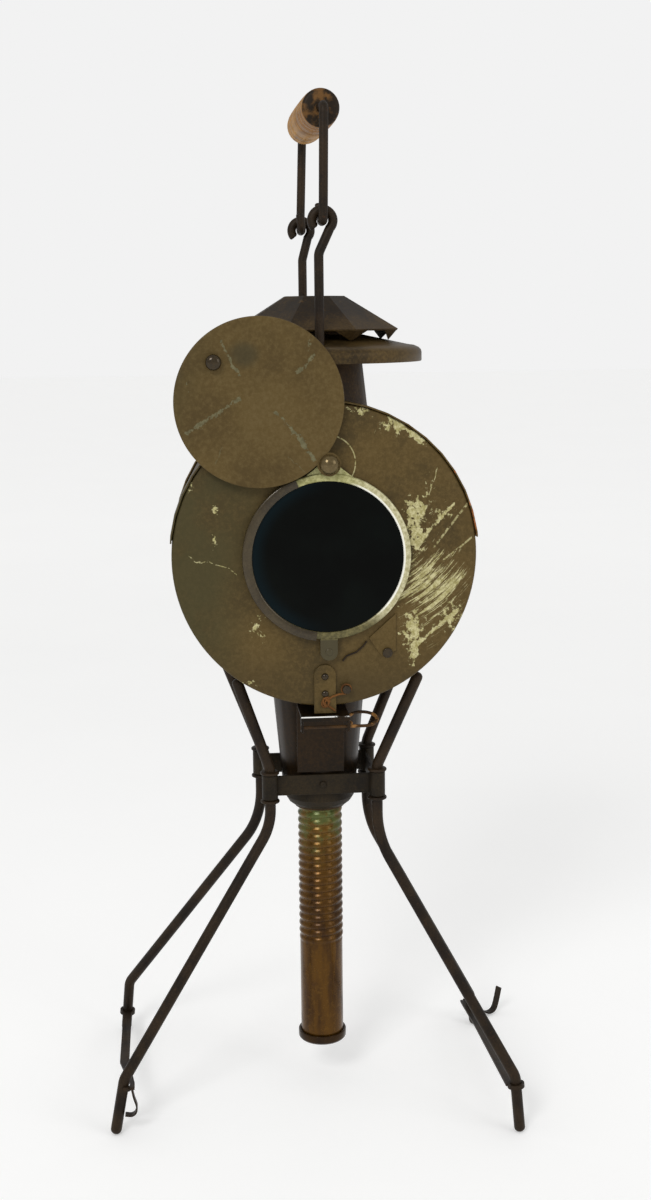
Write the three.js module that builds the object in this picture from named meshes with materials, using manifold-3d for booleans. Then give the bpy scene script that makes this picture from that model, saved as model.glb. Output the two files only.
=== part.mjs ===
// A candle-lit hand signal lamp: a round lamp house on its side, a ventilated chimney with a
// carrying bail above it, a screw-adjusted candle tube below it and four swivelling wire legs.
// Millimetres, +Z up, drawn about the neck's axis. The lens looks along -Y.

import * as THREE from 'three';
import { mergeVertices } from 'three/addons/utils/BufferGeometryUtils.js';
import Module from 'manifold-3d';

const wasm = await Module();
wasm.setup();

// Driving dimensions, in millimetres

const seat_gap = 0.35;            // between pieces that rest on each other
const cut_overrun = 3;            // how far a cutter runs past what it cuts
const sheet = 1.0;                // the lamp's sheet metal

// Lamp house
const neck_lap = 9.8;             // the neck's wall would reach this far above the lid's lower edge
const drum_taper = 2.15;          // how much narrower it is at the back
const drum_front_length = 42;     // straight stretch behind the lid
const drum_rear_y = 48;
const lid_radius = 98.5;
const lid_front = 64;             // from the neck axis to the lid's front face
const lid_rim_depth = 10;
const lid_corner = 1.6;
const neck_hole_radius = 29.5;
const chimney_hole_radius = 32.5;
const hood_clearance = 0.5;
const hood_overhang = 1.2;        // in front of the lid
const hood_reach = 14;            // from the lid's front back to the hood's step
const hood_flange = 8;
const hood_end_rise = 10.8;       // ends above the drum's axis
const rear_rim_depth = 7;
const rear_boss_radius = 32;
const rear_boss_rise = 5;

// Reflector behind the flame
const reflector_radius = 76;
const reflector_depth = 23;
const reflector_apex_y = 43.5;
const stud_radius = 2.2;
const stud_head_radius = 5;
const stud_head_height = 1.8;
const stud_tail = 7;
const nut_radius = 5;
const nut_height = 3.6;

// Lens, in the lid
const lens_offset_x = 1.4;
const lens_offset_z = 0.3;
const window_radius = 48.5;
const lens_glass_lap = 2.1;       // behind the window's edge
const lens_glass_thickness = 3;
const retainer_lap = 3.4;         // past the glass
const retainer_lip = 2.5;         // inside the window's edge
const retainer_thickness = 1.4;

// Pivot above the lens, which carries the filter and the cover
const pivot_margin = 6.2;         // from the filter's frame to the pivot
const pivot_offset_x = 0.8;
const pivot_radius = 2.2;
const pivot_clearance = 0.35;
const pivot_head_radius = 6.5;
const pivot_head_height = 5.2;
const pivot_tail_radius = 4;
const pivot_tail_height = 1.2;
const washer_radius = 4.1;

// Colour filter
const filter_back = 1.8;          // in front of the lid
const filter_frame_depth = 3.4;
const filter_sight_margin = 0.3;  // its opening past the window's edge
const filter_rebate = 1.8;        // how far the glass reaches under the lips
const filter_wall = 3.2;          // outside the glass
const filter_glass_thickness = 1.4;
const filter_lip = 0.65;
const channel_sheet = 0.9;        // half-round strip that clips over the frame's left side
const channel_start_angle = 112;
const channel_end_angle = 261;
const filter_ear_thickness = 1.2;
const filter_ear_half_width = 19;
const filter_ear_shoulder = 9.5;
const filter_ear_drop = 4;
const filter_boss_radius = 6.2;
const filter_tab_width = 11.3;
const filter_tab_length = 14.4;
const filter_tab_hole = 1.7;
const filter_tab_inset = 0.1;     // behind the frame's front face, so that it clears the keeper's screw

// Cover disc
const cover_front = 9.9;          // in front of the lid
const cover_thickness = 1;
const cover_inset = 0.4;          // smaller than the filter's frame
const cover_ear_radius = 7.5;
const cover_neck = 5.1;           // from the disc's edge to the pivot
const cover_open_angle = 137.9;   // from +X, as the signaller leaves it
const cover_knob_offset = 37.8;   // past the disc's centre
const cover_knob_radius = 5;
const cover_knob_height = 6;
const cover_knob_stem = 1.8;

// Keeper and spring on the lid
const keeper_thickness = 1;
const keeper_screw_radius = 3.3;
const keeper_screw_height = 1.9;
const keeper_gap = 4.7;           // from the filter's frame to the keeper's near corners
const spring_wire_radius = 0.6;

// Hasp and its catch on the neck
const hasp_width = 14.4;
const hasp_thickness = 1.2;
const hasp_rise = 27.8;           // above the lid's lower edge
const hasp_offset_x = -1.2;
const hasp_rivet_radius = 2.3;
const hasp_rivet_height = 1.5;
const hasp_rivet_drop = 7.9;      // upper rivet below the hasp's top
const hasp_rivet_spacing = 11.4;
const catch_width = 32;
const catch_offset_x = -1.5;
const catch_ledge_ahead = 5;      // how far the ledge reaches in front of the hasp
const catch_drop = 5.5;           // its ledge is this far below the lid's lower edge
const catch_foot_gap = 2;         // above the collar
const catch_lip = 3.4;
const catch_sheet = 1.3;
const lug_height = 11;
const lug_thickness = 1.6;
const lug_depth = 6;
const pin_radius = 1.1;
const pin_clearance = 0.4;
const pin_drop = 7.9;             // below the catch's top
const pin_proud = 0.7;            // past the left lug
const pin_ring_offset = 9.5;      // ring centre past the right lug
const pin_ring_radius = 9.6;
const pin_ring_tilt = 14;         // its rear edge lifts by this
const pin_ring_sweep = 308;
const eye_post_radius = 1.6;
const eye_head_radius = 3;
const eye_height = 4.4;
const eye_head_height = 1.2;
const eye_x = 12.6;
const eye_rise = 11.5;            // above the lid's lower edge
const tether_radius = 0.7;
// From the post it runs to the left, turns back in front of the hasp and hangs down to the ledge
const tether_run_shares = [[0.62, 0.2], [0.02, 0.38], [-0.12, 0.54], [0.1, 0.68], [0.42, 0.86]];

// Chimney, skirt and roof
const chimney_base_radius = 36.2;
const chimney_root = 14.2;        // its wall starts this far below the lid's upper edge
const chimney_top_radius = 29.7;
const chimney_length = 58;
const skirt_sheet = 1.2;
const skirt_inner_drop = 2;       // below the chimney's top
const skirt_shoulder_radius = 62;
const skirt_slope_drop = 6.8;
const skirt_rim_radius = 71.5;
const skirt_round_drop = 4.7;
const skirt_rim_depth = 6.3;
const roof_rim_radius = 57.6;
const roof_gap = 1.5;             // its rim above the chimney's top
const roof_top_radius = 21;
const roof_rise = 21.5;
const roof_sheet = 1.3;
const roof_sides = 8;
const roof_foot_radius = 50.8;
const roof_foot_half_width = 13.5;

// Stays and bail
const stay_radius = 3;
const stay_y = 58;
const stay_foot_rise = 4.8;       // above the lid's upper edge
const stay_bend_rise = 9;
const stay_shoulder_rise = 10;
const stay_eye_rise = 45.5;       // above the roof's top
const eye_wire_circle = 6.6;
const stay_neck_drop = 20;        // below the eye's middle
const stay_front_x = -1.6;
const stay_rear_x = -2.8;
const stay_front_eye_x = 0.9;
const stay_rear_eye_x = -3.4;
const stay_rivet_radius = 2.6;
const bail_radius = 2.9;
const bail_seat_drop = 0.35;      // its wire rests low in the stays' eyes
const bail_y = 64.5;
const bail_hook_y = 50.5;
const bail_tip_rise = 11.5;
const bail_tip_lean = 1.2;
const bail_bend = 4;
const bail_rise = 69.05;          // from its eyes up to the grip
const grip_length = 100;
const grip_radius = 12.5;
const grip_end_radius = 11.9;
const grip_chamfer = 1.4;
const grip_bore_clearance = 0.5;
const grip_front_x = 1.9;
const grip_rear_x = -1.2;

// Neck and the socket that the candle tube screws into
const neck_top_radius = 32.9;
const neck_bottom_radius = 25.7;
const neck_bottom_height = 221;
const neck_length = 81;
const dish_lap = 9;
const dish_drop = 14;
const dish_wall = 7.5;            // its upright wall below the neck
const socket_wall = 1.5;
const socket_length = 22;
const socket_flange = 5.2;
const socket_flange_rise = 8;
const socket_proud = 1.5;

// Candle tube
const tube_radius = 15.1;
const tube_bore = 12.8;
const tube_length = 321;
const flame_drop = 38.7;          // its top is this far below the drum's axis
const thread_crest = 15.6;
const thread_root = 14.4;
const thread_pitch = 5.45;
const thread_start = 76;          // above the tube's bottom
const thread_turns = 23;
const thread_clearance = 0.35;
const end_cap_radius = 17.1;
const end_cap_height = 8.5;
const end_cap_dome = 2.6;
const nozzle_radius = 16.9;
const nozzle_skirt = 9;
const nozzle_rise = 6;
const nozzle_mouth = 7.5;
const nozzle_slope = 1.25;        // sloping wall measured upright, as a share of its thickness
const candle_radius = 11;
const candle_length = 160;
const wick_radius = 1;
const wick_height = 14;
const follower_radius = 11.8;
const follower_height = 5;
const coil_radius = 10;
const coil_wire = 0.8;
const coil_turns = 8;

// Collar that holds the legs to the neck
const collar_height = 14;
const collar_sheet = 1.8;
const barrel_x = 37;
const barrel_y = 31;
const barrel_radius = 5.4;
const barrel_height = 17;
const barrel_drop = 1.2;          // below the collar
const collar_rivet_radius = 2.4;
const collar_rivet_height = 1.4;

// Legs
const leg_radius = 3.75;
const leg_clearance = 0.4;
const leg_knee_reach = 105;
const leg_knee_height = 38.8;
const leg_foot_reach = 109;
const leg_fork_drop = 29.8;       // below the barrel: where an unrounded leg would leave the vertical
const leg_elbow_rise = 4.2;       // above the barrel, where its arm leaves the vertical
const leg_arm_reach = 30;
const leg_arm_rise = 62;
const leg_elbow_bend = 14;
const leg_fork_bend = 56;
const leg_knee_bend = 12;
const leg_bead_radius = 6.5;
const leg_bead_height = 2.2;

// Spreaders between the front and rear feet
const spreader_width = 6.5;
const spreader_hook_width = 3.2;   // beside the hooked leg
const spreader_thickness = 1.5;
const spreader_ring_wall = 1.6;
const spreader_jog = 45;          // where it starts to pass inside the hooked leg
const spreader_ring_height = 3;
const spreader_tab_width = 6;
const spreader_tab_sheet = 1.1;
const left_pivot_height = 16;
const left_hook_height = 33.5;
const left_tab = {                // beside the leg; its line runs across and down from the hook
  ahead: -3,
  turn: 0,
  reach: 19.3,
  line_shares: [[-0.25, 0.01], [-0.33, -0.4], [-0.42, -0.7], [-0.4, -0.9], [-0.275, -1], [-0.05, -0.975]],
};
const right_pivot_height = 33;
const right_hook_height = 18;
const right_strip_inset = 3.5;    // how far inside its leg the strip runs
const right_tab = {
  ahead: 5.6,
  turn: -25,
  reach: 29.5,
  line_shares: [[-0.07, 0.01], [0.17, -0.14], [0.42, -0.35], [0.64, -0.46], [0.82, -0.4], [0.92, -0.15], [1, 0.15]],
};

// Rounding of the modelled curves
const large_sides = 44;
const middle_sides = 24;
const small_sides = 12;
const rod_sides = 8;

// Places that follow from the sizes

const degrees = Math.PI / 180;
const collar_bottom = neck_bottom_height;
const barrel_bottom = collar_bottom - barrel_drop;
const leg_elbow_height = barrel_bottom + barrel_height + leg_elbow_rise;
const neck_top_height = neck_bottom_height + neck_length;
const lid_bottom_height = neck_top_height - neck_lap;
const drum_centre_height = lid_bottom_height + lid_radius;
const lid_top_height = drum_centre_height + lid_radius;
const drum_front_radius = lid_radius - sheet - seat_gap;
const drum_rear_radius = drum_front_radius - drum_taper;
const drum_front_y = -(lid_front - sheet - lid_corner);
const hood_radius = lid_radius + hood_clearance + sheet;
const lens_x = lens_offset_x;
const lens_z = drum_centre_height + lens_offset_z;
const lens_glass_radius = window_radius + lens_glass_lap;
const retainer_radius = lens_glass_radius + retainer_lap;
const retainer_bore = window_radius - retainer_lip;
const filter_sight_radius = window_radius + filter_sight_margin;
const filter_glass_radius = filter_sight_radius + filter_rebate;
const filter_frame_radius = filter_glass_radius + filter_wall;
const pivot_reach = filter_frame_radius + pivot_margin;
const cover_radius = filter_frame_radius - cover_inset;
const cover_reach = cover_radius + cover_neck;
const cover_knob_reach = cover_reach + cover_knob_offset;
const keeper_reach = filter_frame_radius + keeper_gap;
const pivot_x = lens_x + pivot_offset_x;
const pivot_z = lens_z + pivot_reach;
const pivot_bore = pivot_radius + pivot_clearance;
const leg_bore = leg_radius + leg_clearance;
const hasp_top = lid_bottom_height + hasp_rise;
const hasp_rivet_upper = hasp_top - hasp_rivet_drop;
const hasp_rivet_lower = hasp_rivet_upper - hasp_rivet_spacing;
const catch_top = lid_bottom_height - catch_drop;
const catch_bottom = collar_bottom + collar_height + catch_foot_gap;
const eye_z = lid_bottom_height + eye_rise;
const chimney_base_height = lid_top_height - chimney_root;
const chimney_top_height = chimney_base_height + chimney_length;
const skirt_inner_height = chimney_top_height - skirt_inner_drop;
const skirt_shoulder_height = skirt_inner_height - skirt_slope_drop;
const skirt_rim_top = skirt_shoulder_height - skirt_round_drop;
const skirt_rim_bottom = skirt_rim_top - skirt_rim_depth;
const roof_rim_height = chimney_top_height + roof_gap;
const roof_top_height = roof_rim_height + roof_rise;
const stay_foot_height = lid_top_height + stay_foot_rise;
const stay_bend_height = stay_foot_height + stay_bend_rise;
const stay_shoulder_height = stay_bend_height + stay_shoulder_rise;
const eye_height_z = roof_top_height + stay_eye_rise;
const stay_neck_height = eye_height_z - stay_neck_drop;
const grip_height = eye_height_z - bail_seat_drop + bail_rise;
const tube_top = drum_centre_height - flame_drop;
const tube_bottom = tube_top - tube_length;
const thread_bottom = tube_bottom + thread_start;

// How far each leg is swivelled and how it was bent by hand, as shares of the leg above
const leg_table = [
  { name: 'front_left', x: -1, y: -1, swivel: 18.9, barrel_share: 0.986, arm_reach_share: 0.767,
    arm_rise_share: 1.048, fork_share: 0.643, fork_bend_share: 0.67, knee_reach_share: 1.043,
    knee_height_share: 0.985, foot_reach_share: 1.074 },
  { name: 'front_right', x: 1, y: -1, swivel: 36.2, barrel_share: 1, arm_reach_share: 1.067,
    arm_rise_share: 1.097, fork_share: 1, fork_bend_share: 1, knee_reach_share: 1,
    knee_height_share: 1, foot_reach_share: 1 },
  { name: 'rear_left', x: -1, y: 1, swivel: 28.6, barrel_share: 1.075, arm_reach_share: 0.9,
    arm_rise_share: 0.968, fork_share: 1.108, fork_bend_share: 1.07, knee_reach_share: 1.1,
    knee_height_share: 1.039, foot_reach_share: 1.1 },
  { name: 'rear_right', x: 1, y: 1, swivel: 22.7, barrel_share: 1, arm_reach_share: 0.933,
    arm_rise_share: 0.935, fork_share: 1.204, fork_bend_share: 1.25, knee_reach_share: 0.864,
    knee_height_share: 0.644, foot_reach_share: 0.872 },
];
const legs = Object.fromEntries(leg_table.map((leg) => [leg.name, leg]));

// Materials

function finish(color, roughness, metalness) {
  return () => new THREE.MeshStandardMaterial({ color, roughness, metalness });
}
const olive_paint = finish(0x5a4c30, 0.55, 0.2);
const bare_olive = finish(0x8a8560, 0.45, 0.3);
const dark_tin = finish(0x3a3128, 0.5, 0.5);
const black_wire = finish(0x2a221b, 0.5, 0.6);
const rusty_wire = finish(0x8a4d20, 0.85, 0.3);
const aged_brass = finish(0x9a6a24, 0.3, 0.9);
const silvered = finish(0xc9c9c2, 0.2, 1.0);
const dark_glass = finish(0x06221f, 0.08, 0.0);
const clear_glass = finish(0xd8e4e0, 0.05, 0.0);
const turned_wood = finish(0xc19a66, 0.5, 0.0);
const tallow = finish(0xe6dcc0, 0.6, 0.0);
const spring_steel = finish(0x6f6a62, 0.35, 0.9);

// Solids and booleans

function mergedCopy(geometry) {
  const bare = geometry.index ? geometry.clone() : mergeVertices(geometry.clone());
  bare.deleteAttribute('normal');
  bare.deleteAttribute('uv');
  const merged = mergeVertices(bare, 1e-4);
  const kept = [];
  const index = merged.index.array;
  for (let i = 0; i < index.length; i += 3) {
    const [a, b, c] = [index[i], index[i + 1], index[i + 2]];
    if (a !== b && b !== c && c !== a) kept.push(a, b, c);
  }
  merged.setIndex(kept);
  return merged;
}

function signedVolume(geometry) {
  const p = geometry.attributes.position;
  const index = geometry.index.array;
  const [a, b, c] = [new THREE.Vector3(), new THREE.Vector3(), new THREE.Vector3()];
  let sum = 0;
  for (let i = 0; i < index.length; i += 3) {
    a.fromBufferAttribute(p, index[i]);
    b.fromBufferAttribute(p, index[i + 1]);
    c.fromBufferAttribute(p, index[i + 2]);
    sum += a.dot(b.cross(c));
  }
  return sum / 6;
}

// One closed body with its faces outwards
function closed(geometry) {
  const merged = mergedCopy(geometry);
  if (signedVolume(merged) < 0) {
    const index = Array.from(merged.index.array);
    for (let i = 0; i < index.length; i += 3) [index[i], index[i + 1]] = [index[i + 1], index[i]];
    merged.setIndex(index);
  }
  return merged;
}

function solid(geometry) {
  const merged = closed(geometry);
  const mesh = new wasm.Mesh({
    numProp: 3,
    vertProperties: new Float32Array(merged.attributes.position.array),
    triVerts: new Uint32Array(merged.index.array),
  });
  return new wasm.Manifold(mesh);
}

function geometryOf(manifold) {
  const mesh = manifold.getMesh();
  const geometry = new THREE.BufferGeometry();
  geometry.setAttribute('position', new THREE.BufferAttribute(new Float32Array(mesh.vertProperties), 3));
  geometry.setIndex(Array.from(mesh.triVerts));
  return geometry;
}

function join(...geometries) {
  return geometryOf(geometries.map(solid).reduce((whole, next) => whole.add(next)));
}

function cut(geometry, ...cutters) {
  return geometryOf(cutters.map(solid).reduce((whole, next) => whole.subtract(next), solid(geometry)));
}

// Outlines and sweeps

const point = (x, y) => new THREE.Vector2(x, y);
const place = (x, y, z) => new THREE.Vector3(x, y, z);

// An open line given a thickness on its right-hand side, as a closed outline
function thicken(line, thickness) {
  const offset = line.map((p, i) => {
    const before = line[Math.max(i - 1, 0)];
    const after = line[Math.min(i + 1, line.length - 1)];
    const into = p.clone().sub(before);
    const out = after.clone().sub(p);
    if (into.lengthSq() === 0) into.copy(out);
    if (out.lengthSq() === 0) out.copy(into);
    into.normalize();
    out.normalize();
    const normal = point(into.y + out.y, -into.x - out.x).normalize();
    const spread = normal.dot(point(into.y, -into.x));
    return p.clone().addScaledVector(normal, thickness / spread);
  });
  return [...line, ...offset.reverse()];
}

// A profile of radius and height turned about Y; sheet profiles close on themselves
function turnedAboutY(profile, sides) {
  const onAxis = profile[0].x === 0 && profile[profile.length - 1].x === 0;
  const points = onAxis ? profile : [...profile, profile[0].clone()];
  return new THREE.LatheGeometry(points, sides);
}

function turnedAboutZ(profile, sides) {
  return turnedAboutY(profile, sides).rotateX(90 * degrees);
}

function tubeAlongZ(outer, inner, bottom, top, sides) {
  const wall = [point(outer, bottom), point(outer, top), point(inner, top), point(inner, bottom)];
  return turnedAboutZ(wall, sides);
}

function rodAlongY(radius, front, back, sides) {
  return turnedAboutY([point(0, front), point(radius, front), point(radius, back), point(0, back)], sides);
}

function rodAlongZ(radius, bottom, top, sides) {
  return rodAlongY(radius, bottom, top, sides).rotateX(90 * degrees);
}

function block(low, high) {
  const size = high.clone().sub(low);
  const middle = low.clone().add(high).multiplyScalar(0.5);
  return new THREE.BoxGeometry(size.x, size.y, size.z).translate(middle.x, middle.y, middle.z);
}

// A flat plate seen from the front: its outline in X and Z, its faces square to Y
function frontPlate(shape, front_y, thickness) {
  const options = { depth: thickness, bevelEnabled: false, curveSegments: middle_sides };
  const plate = new THREE.ExtrudeGeometry(shape, options);
  return plate.rotateX(90 * degrees).translate(0, front_y + thickness, 0);
}

// A domed head that stands towards -Y on the plane y
function domedHead(radius, height, y) {
  const profile = [point(0, y)];
  const rings = 3;
  for (let i = 0; i <= rings; i++) {
    const turn = (90 * i * degrees) / rings;
    profile.push(point(i === rings ? 0 : radius * Math.cos(turn), y - height * Math.sin(turn)));
  }
  return turnedAboutY(profile, small_sides);
}

// A path that a sweep follows exactly from point to point
class BentPath extends THREE.Curve {
  constructor(points) {
    super();
    this.points = points;
  }
  getPointAt(share) {
    return this.points[Math.round(share * (this.points.length - 1))].clone();
  }
  getTangentAt(share) {
    const i = Math.round(share * (this.points.length - 1));
    const before = this.points[Math.max(i - 1, 0)];
    const after = this.points[Math.min(i + 1, this.points.length - 1)];
    return after.clone().sub(before).normalize();
  }
}

function rod(points, radius, sides = rod_sides) {
  const section = new THREE.Shape();
  for (let i = 0; i < sides; i++) {
    const turn = (i / sides) * 360 * degrees;
    const [x, y] = [radius * Math.cos(turn), radius * Math.sin(turn)];
    if (i === 0) section.moveTo(x, y);
    else section.lineTo(x, y);
  }
  section.closePath();
  const options = { steps: points.length - 1, extrudePath: new BentPath(points), bevelEnabled: false };
  return new THREE.ExtrudeGeometry(section, options);
}

// Corners rounded to a bend radius, with a few steps around each bend
function bent(corners, bends, steps = 3) {
  const path = [corners[0].clone()];
  for (let i = 1; i < corners.length - 1; i++) {
    const bend = Array.isArray(bends) ? bends[i - 1] : bends;
    const into = corners[i].clone().sub(corners[i - 1]).normalize();
    const out = corners[i + 1].clone().sub(corners[i]).normalize();
    const turn = into.angleTo(out);
    const back = bend * Math.tan(turn / 2);
    const start = corners[i].clone().addScaledVector(into, -back);
    const inward = out.clone().addScaledVector(into, -out.dot(into)).normalize();
    for (let j = 0; j <= steps; j++) {
      const part = (turn * j) / steps;
      const along = bend * Math.sin(part);
      const aside = bend * (1 - Math.cos(part));
      path.push(start.clone().addScaledVector(into, along).addScaledVector(inward, aside));
    }
  }
  path.push(corners[corners.length - 1].clone());
  return path;
}

function piece(name, geometry, material) {
  const mesh = new THREE.Mesh(closed(geometry), material());
  mesh.name = name;
  return mesh;
}

function assembly(...children) {
  const group = new THREE.Group();
  group.add(...children);
  return group;
}

// Lamp house

function drumOuterLine(clearance) {
  return [
    point(drum_front_radius + clearance, drum_front_y),
    point(drum_front_radius + clearance, drum_front_y + drum_front_length),
    point(drum_rear_radius + clearance, drum_rear_y),
  ];
}

// The drum as a full body, used to shape what stands on it
function drumBody(clearance) {
  const line = drumOuterLine(clearance);
  const filled = [point(0, line[0].y), ...line, point(0, line[line.length - 1].y)];
  return turnedAboutY(filled, large_sides).translate(0, 0, drum_centre_height);
}

function drumShell() {
  const shell = turnedAboutY(thicken(drumOuterLine(0).reverse(), sheet), large_sides);
  shell.translate(0, 0, drum_centre_height);
  const below = drum_centre_height - drum_front_radius - cut_overrun;
  const above = drum_centre_height + drum_front_radius + cut_overrun;
  const neck_hole = rodAlongZ(neck_hole_radius, below, drum_centre_height, middle_sides);
  const chimney_hole = rodAlongZ(chimney_hole_radius, drum_centre_height, above, middle_sides);
  return piece('drum_shell', cut(shell, neck_hole, chimney_hole), dark_tin);
}

function rearCover() {
  const inner = drum_rear_radius + 2 * seat_gap;
  const face = drum_rear_y + seat_gap + sheet;
  const outside = [
    point(0, face + rear_boss_rise),
    point(rear_boss_radius - rear_boss_rise, face + rear_boss_rise),
    point(rear_boss_radius, face),
    point(inner, face),
    point(inner + sheet, face - sheet),
    point(inner + sheet, face - rear_rim_depth),
  ];
  const cover = turnedAboutY(thicken(outside, sheet), large_sides);
  const bore_end = face + rear_boss_rise + cut_overrun;
  const bore = rodAlongY(stud_radius + pivot_clearance, drum_rear_y, bore_end, small_sides);
  return piece('rear_cover', cut(cover, bore).translate(0, 0, drum_centre_height), dark_tin);
}

function hoodBand() {
  const flange_radius = drum_front_radius + seat_gap + sheet;
  const step_y = -lid_front + hood_reach;
  const outside = [
    point(hood_radius, -lid_front - hood_overhang),
    point(hood_radius, step_y),
    point(flange_radius, step_y + sheet),
    point(flange_radius, step_y + hood_flange),
  ];
  const band = turnedAboutY(thicken(outside.reverse(), sheet), large_sides);
  const reach = hood_radius + cut_overrun;
  const lower = block(place(-reach, -lid_front - reach, -reach), place(reach, reach, hood_end_rise));
  return piece('hood_band', cut(band, lower).translate(0, 0, drum_centre_height), olive_paint);
}

function reflectorLine() {
  const bowl = (reflector_radius ** 2 + reflector_depth ** 2) / (2 * reflector_depth);
  const sweep = Math.asin(reflector_radius / bowl);
  const rings = 3;
  const line = [];
  for (let i = 0; i <= rings; i++) {
    const turn = (sweep * i) / rings;
    line.push(point(bowl * Math.sin(turn), reflector_apex_y - bowl * (1 - Math.cos(turn))));
  }
  return line;
}

function reflectorPieces() {
  const bowl = turnedAboutY(thicken(reflectorLine(), sheet), large_sides);
  const bore = rodAlongY(stud_radius + pivot_clearance, 0, drum_rear_y, small_sides);
  const head_back = reflector_apex_y - sheet - 2 * seat_gap;
  const nut_front = drum_rear_y + 2 * seat_gap + sheet + rear_boss_rise;
  const head = rodAlongY(stud_head_radius, head_back - stud_head_height, head_back, small_sides);
  const shank = rodAlongY(stud_radius, head_back - seat_gap, nut_front + stud_tail, small_sides);
  const nut = rodAlongY(nut_radius, nut_front, nut_front + nut_height, 6);
  const nut_back = nut_front + nut_height;
  const [bore_front, bore_back] = [nut_front - cut_overrun, nut_back + cut_overrun];
  const nut_bore = rodAlongY(stud_radius + seat_gap, bore_front, bore_back, small_sides);
  return assembly(
    piece('reflector', cut(bowl, bore), silvered),
    piece('reflector_stud', join(head, shank), spring_steel),
    piece('reflector_nut', cut(nut, nut_bore), spring_steel),
  );
}

// Lid, with everything that it carries

function lid() {
  const flat_radius = lid_radius - lid_corner;
  const outside = [
    point(0, 0),
    point(flat_radius, 0),
    point(lid_radius - lid_corner / 3, lid_corner / 3),
    point(lid_radius, lid_corner),
    point(lid_radius, lid_rim_depth),
  ];
  const plate = turnedAboutY(thicken(outside.reverse(), sheet), large_sides).translate(0, -lid_front, 0);
  const front = -lid_front - cut_overrun;
  const back = -lid_front + sheet + cut_overrun;
  const window_cut = rodAlongY(window_radius, front, back, large_sides).translate(lens_x, 0, lens_offset_z);
  const pivot_cut = rodAlongY(pivot_bore, front, back, small_sides);
  pivot_cut.translate(pivot_x, 0, pivot_z - drum_centre_height);
  return piece('lid', cut(plate, window_cut, pivot_cut).translate(0, 0, drum_centre_height), olive_paint);
}

function lensPieces() {
  const glass_front = -lid_front + sheet + seat_gap;
  const glass_back = glass_front + lens_glass_thickness;
  const glass = rodAlongY(lens_glass_radius, glass_front, glass_back, large_sides);
  const ring_front = glass_back + seat_gap;
  const wall_radius = lens_glass_radius + seat_gap;
  const ring = turnedAboutY([
    point(retainer_bore, ring_front),
    point(wall_radius, ring_front),
    point(wall_radius, glass_front),
    point(retainer_radius, glass_front),
    point(retainer_radius, ring_front + retainer_thickness),
    point(retainer_bore, ring_front + retainer_thickness),
  ], large_sides);
  const group = assembly(piece('clear_lens', glass, clear_glass), piece('lens_retainer', ring, dark_tin));
  group.position.set(lens_x, 0, lens_z);
  return group;
}

// The keeper is a small plate beside the filter, placed from the lens centre by angle and reach
function keeperPieces() {
  const corner_shares = [[-64, 1.03], [-62.5, 1.285], [-55, 1.315], [-41, 1.0]];
  const corners = corner_shares.map(([angle, share]) => point(
    keeper_reach * share * Math.cos(angle * degrees),
    keeper_reach * share * Math.sin(angle * degrees),
  ));
  const front = -lid_front - seat_gap - keeper_thickness;
  const plate = frontPlate(new THREE.Shape(corners), front, keeper_thickness);
  const screw_at = corners[1].clone().lerp(corners[2], 0.45).multiplyScalar(0.985);
  const head_back = front - seat_gap;
  const head = rodAlongY(keeper_screw_radius, head_back - keeper_screw_height, head_back, small_sides);
  head.translate(screw_at.x, 0, screw_at.y);
  const wire_y = -lid_front - seat_gap - spring_wire_radius;
  const wire_angle_shares = [[-82.5, 1.19], [-80, 1.14], [-74, 1.125], [-69, 1.085], [-66, 1.05]];
  const wire_points = wire_angle_shares.map(([angle, share]) => place(
    keeper_reach * share * Math.cos(angle * degrees), wire_y,
    keeper_reach * share * Math.sin(angle * degrees),
  ));
  const group = assembly(
    piece('filter_keeper', plate, olive_paint),
    piece('keeper_screw', head, dark_tin),
    piece('filter_spring', rod(wire_points, spring_wire_radius, 6), black_wire),
  );
  group.position.set(lens_x, 0, lens_z);
  return group;
}

const hasp_front_y = -lid_front - seat_gap - hasp_thickness;
const ledge_front_y = hasp_front_y - catch_ledge_ahead;

function haspPieces() {
  const shape = new THREE.Shape();
  const half = hasp_width / 2;
  const bottom = catch_top + 2 * seat_gap;
  shape.moveTo(-half, bottom);
  shape.lineTo(half, bottom);
  shape.lineTo(half, hasp_top - half);
  shape.absarc(0, hasp_top - half, half, 0, 180 * degrees, false);
  shape.closePath();
  const plate = frontPlate(shape, hasp_front_y, hasp_thickness).translate(hasp_offset_x, 0, 0);
  const heights = { upper: hasp_rivet_upper, lower: hasp_rivet_lower };
  const rivets = Object.entries(heights).map(([where, height]) => {
    const head = domedHead(hasp_rivet_radius, hasp_rivet_height, hasp_front_y - seat_gap);
    return piece(`hasp_rivet_${where}`, head.translate(hasp_offset_x, 0, height), dark_tin);
  });
  return assembly(piece('hasp', plate, olive_paint), ...rivets);
}

// A small post on the lid with the rusty wire that keeps the pin from being lost
function tetherPieces() {
  const foot = -lid_front - seat_gap;
  const post = rodAlongY(eye_post_radius, foot - eye_height, foot, small_sides);
  const head_back = foot - eye_height;
  const head = rodAlongY(eye_head_radius, head_back - eye_head_height, head_back, small_sides);
  const wire_y = foot - eye_height / 2;
  const loop = eye_post_radius + tether_radius + seat_gap;
  const points = [];
  const loop_steps = 7;
  for (let i = 0; i <= loop_steps; i++) {
    const turn = (-20 + (300 * i) / loop_steps) * degrees;
    points.push(place(eye_x + loop * Math.cos(turn), wire_y, eye_z + loop * Math.sin(turn)));
  }
  const [run_x, run_z] = [eye_x, eye_z - catch_top];
  const tail = tether_run_shares.map(([across, down]) => place(run_x * across, wire_y, eye_z - run_z * down));
  return assembly(
    piece('tether_post', join(post, head).translate(eye_x, 0, eye_z), dark_tin),
    piece('tether_wire', rod([...points, ...tail], tether_radius, 6), rusty_wire),
  );
}

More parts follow.
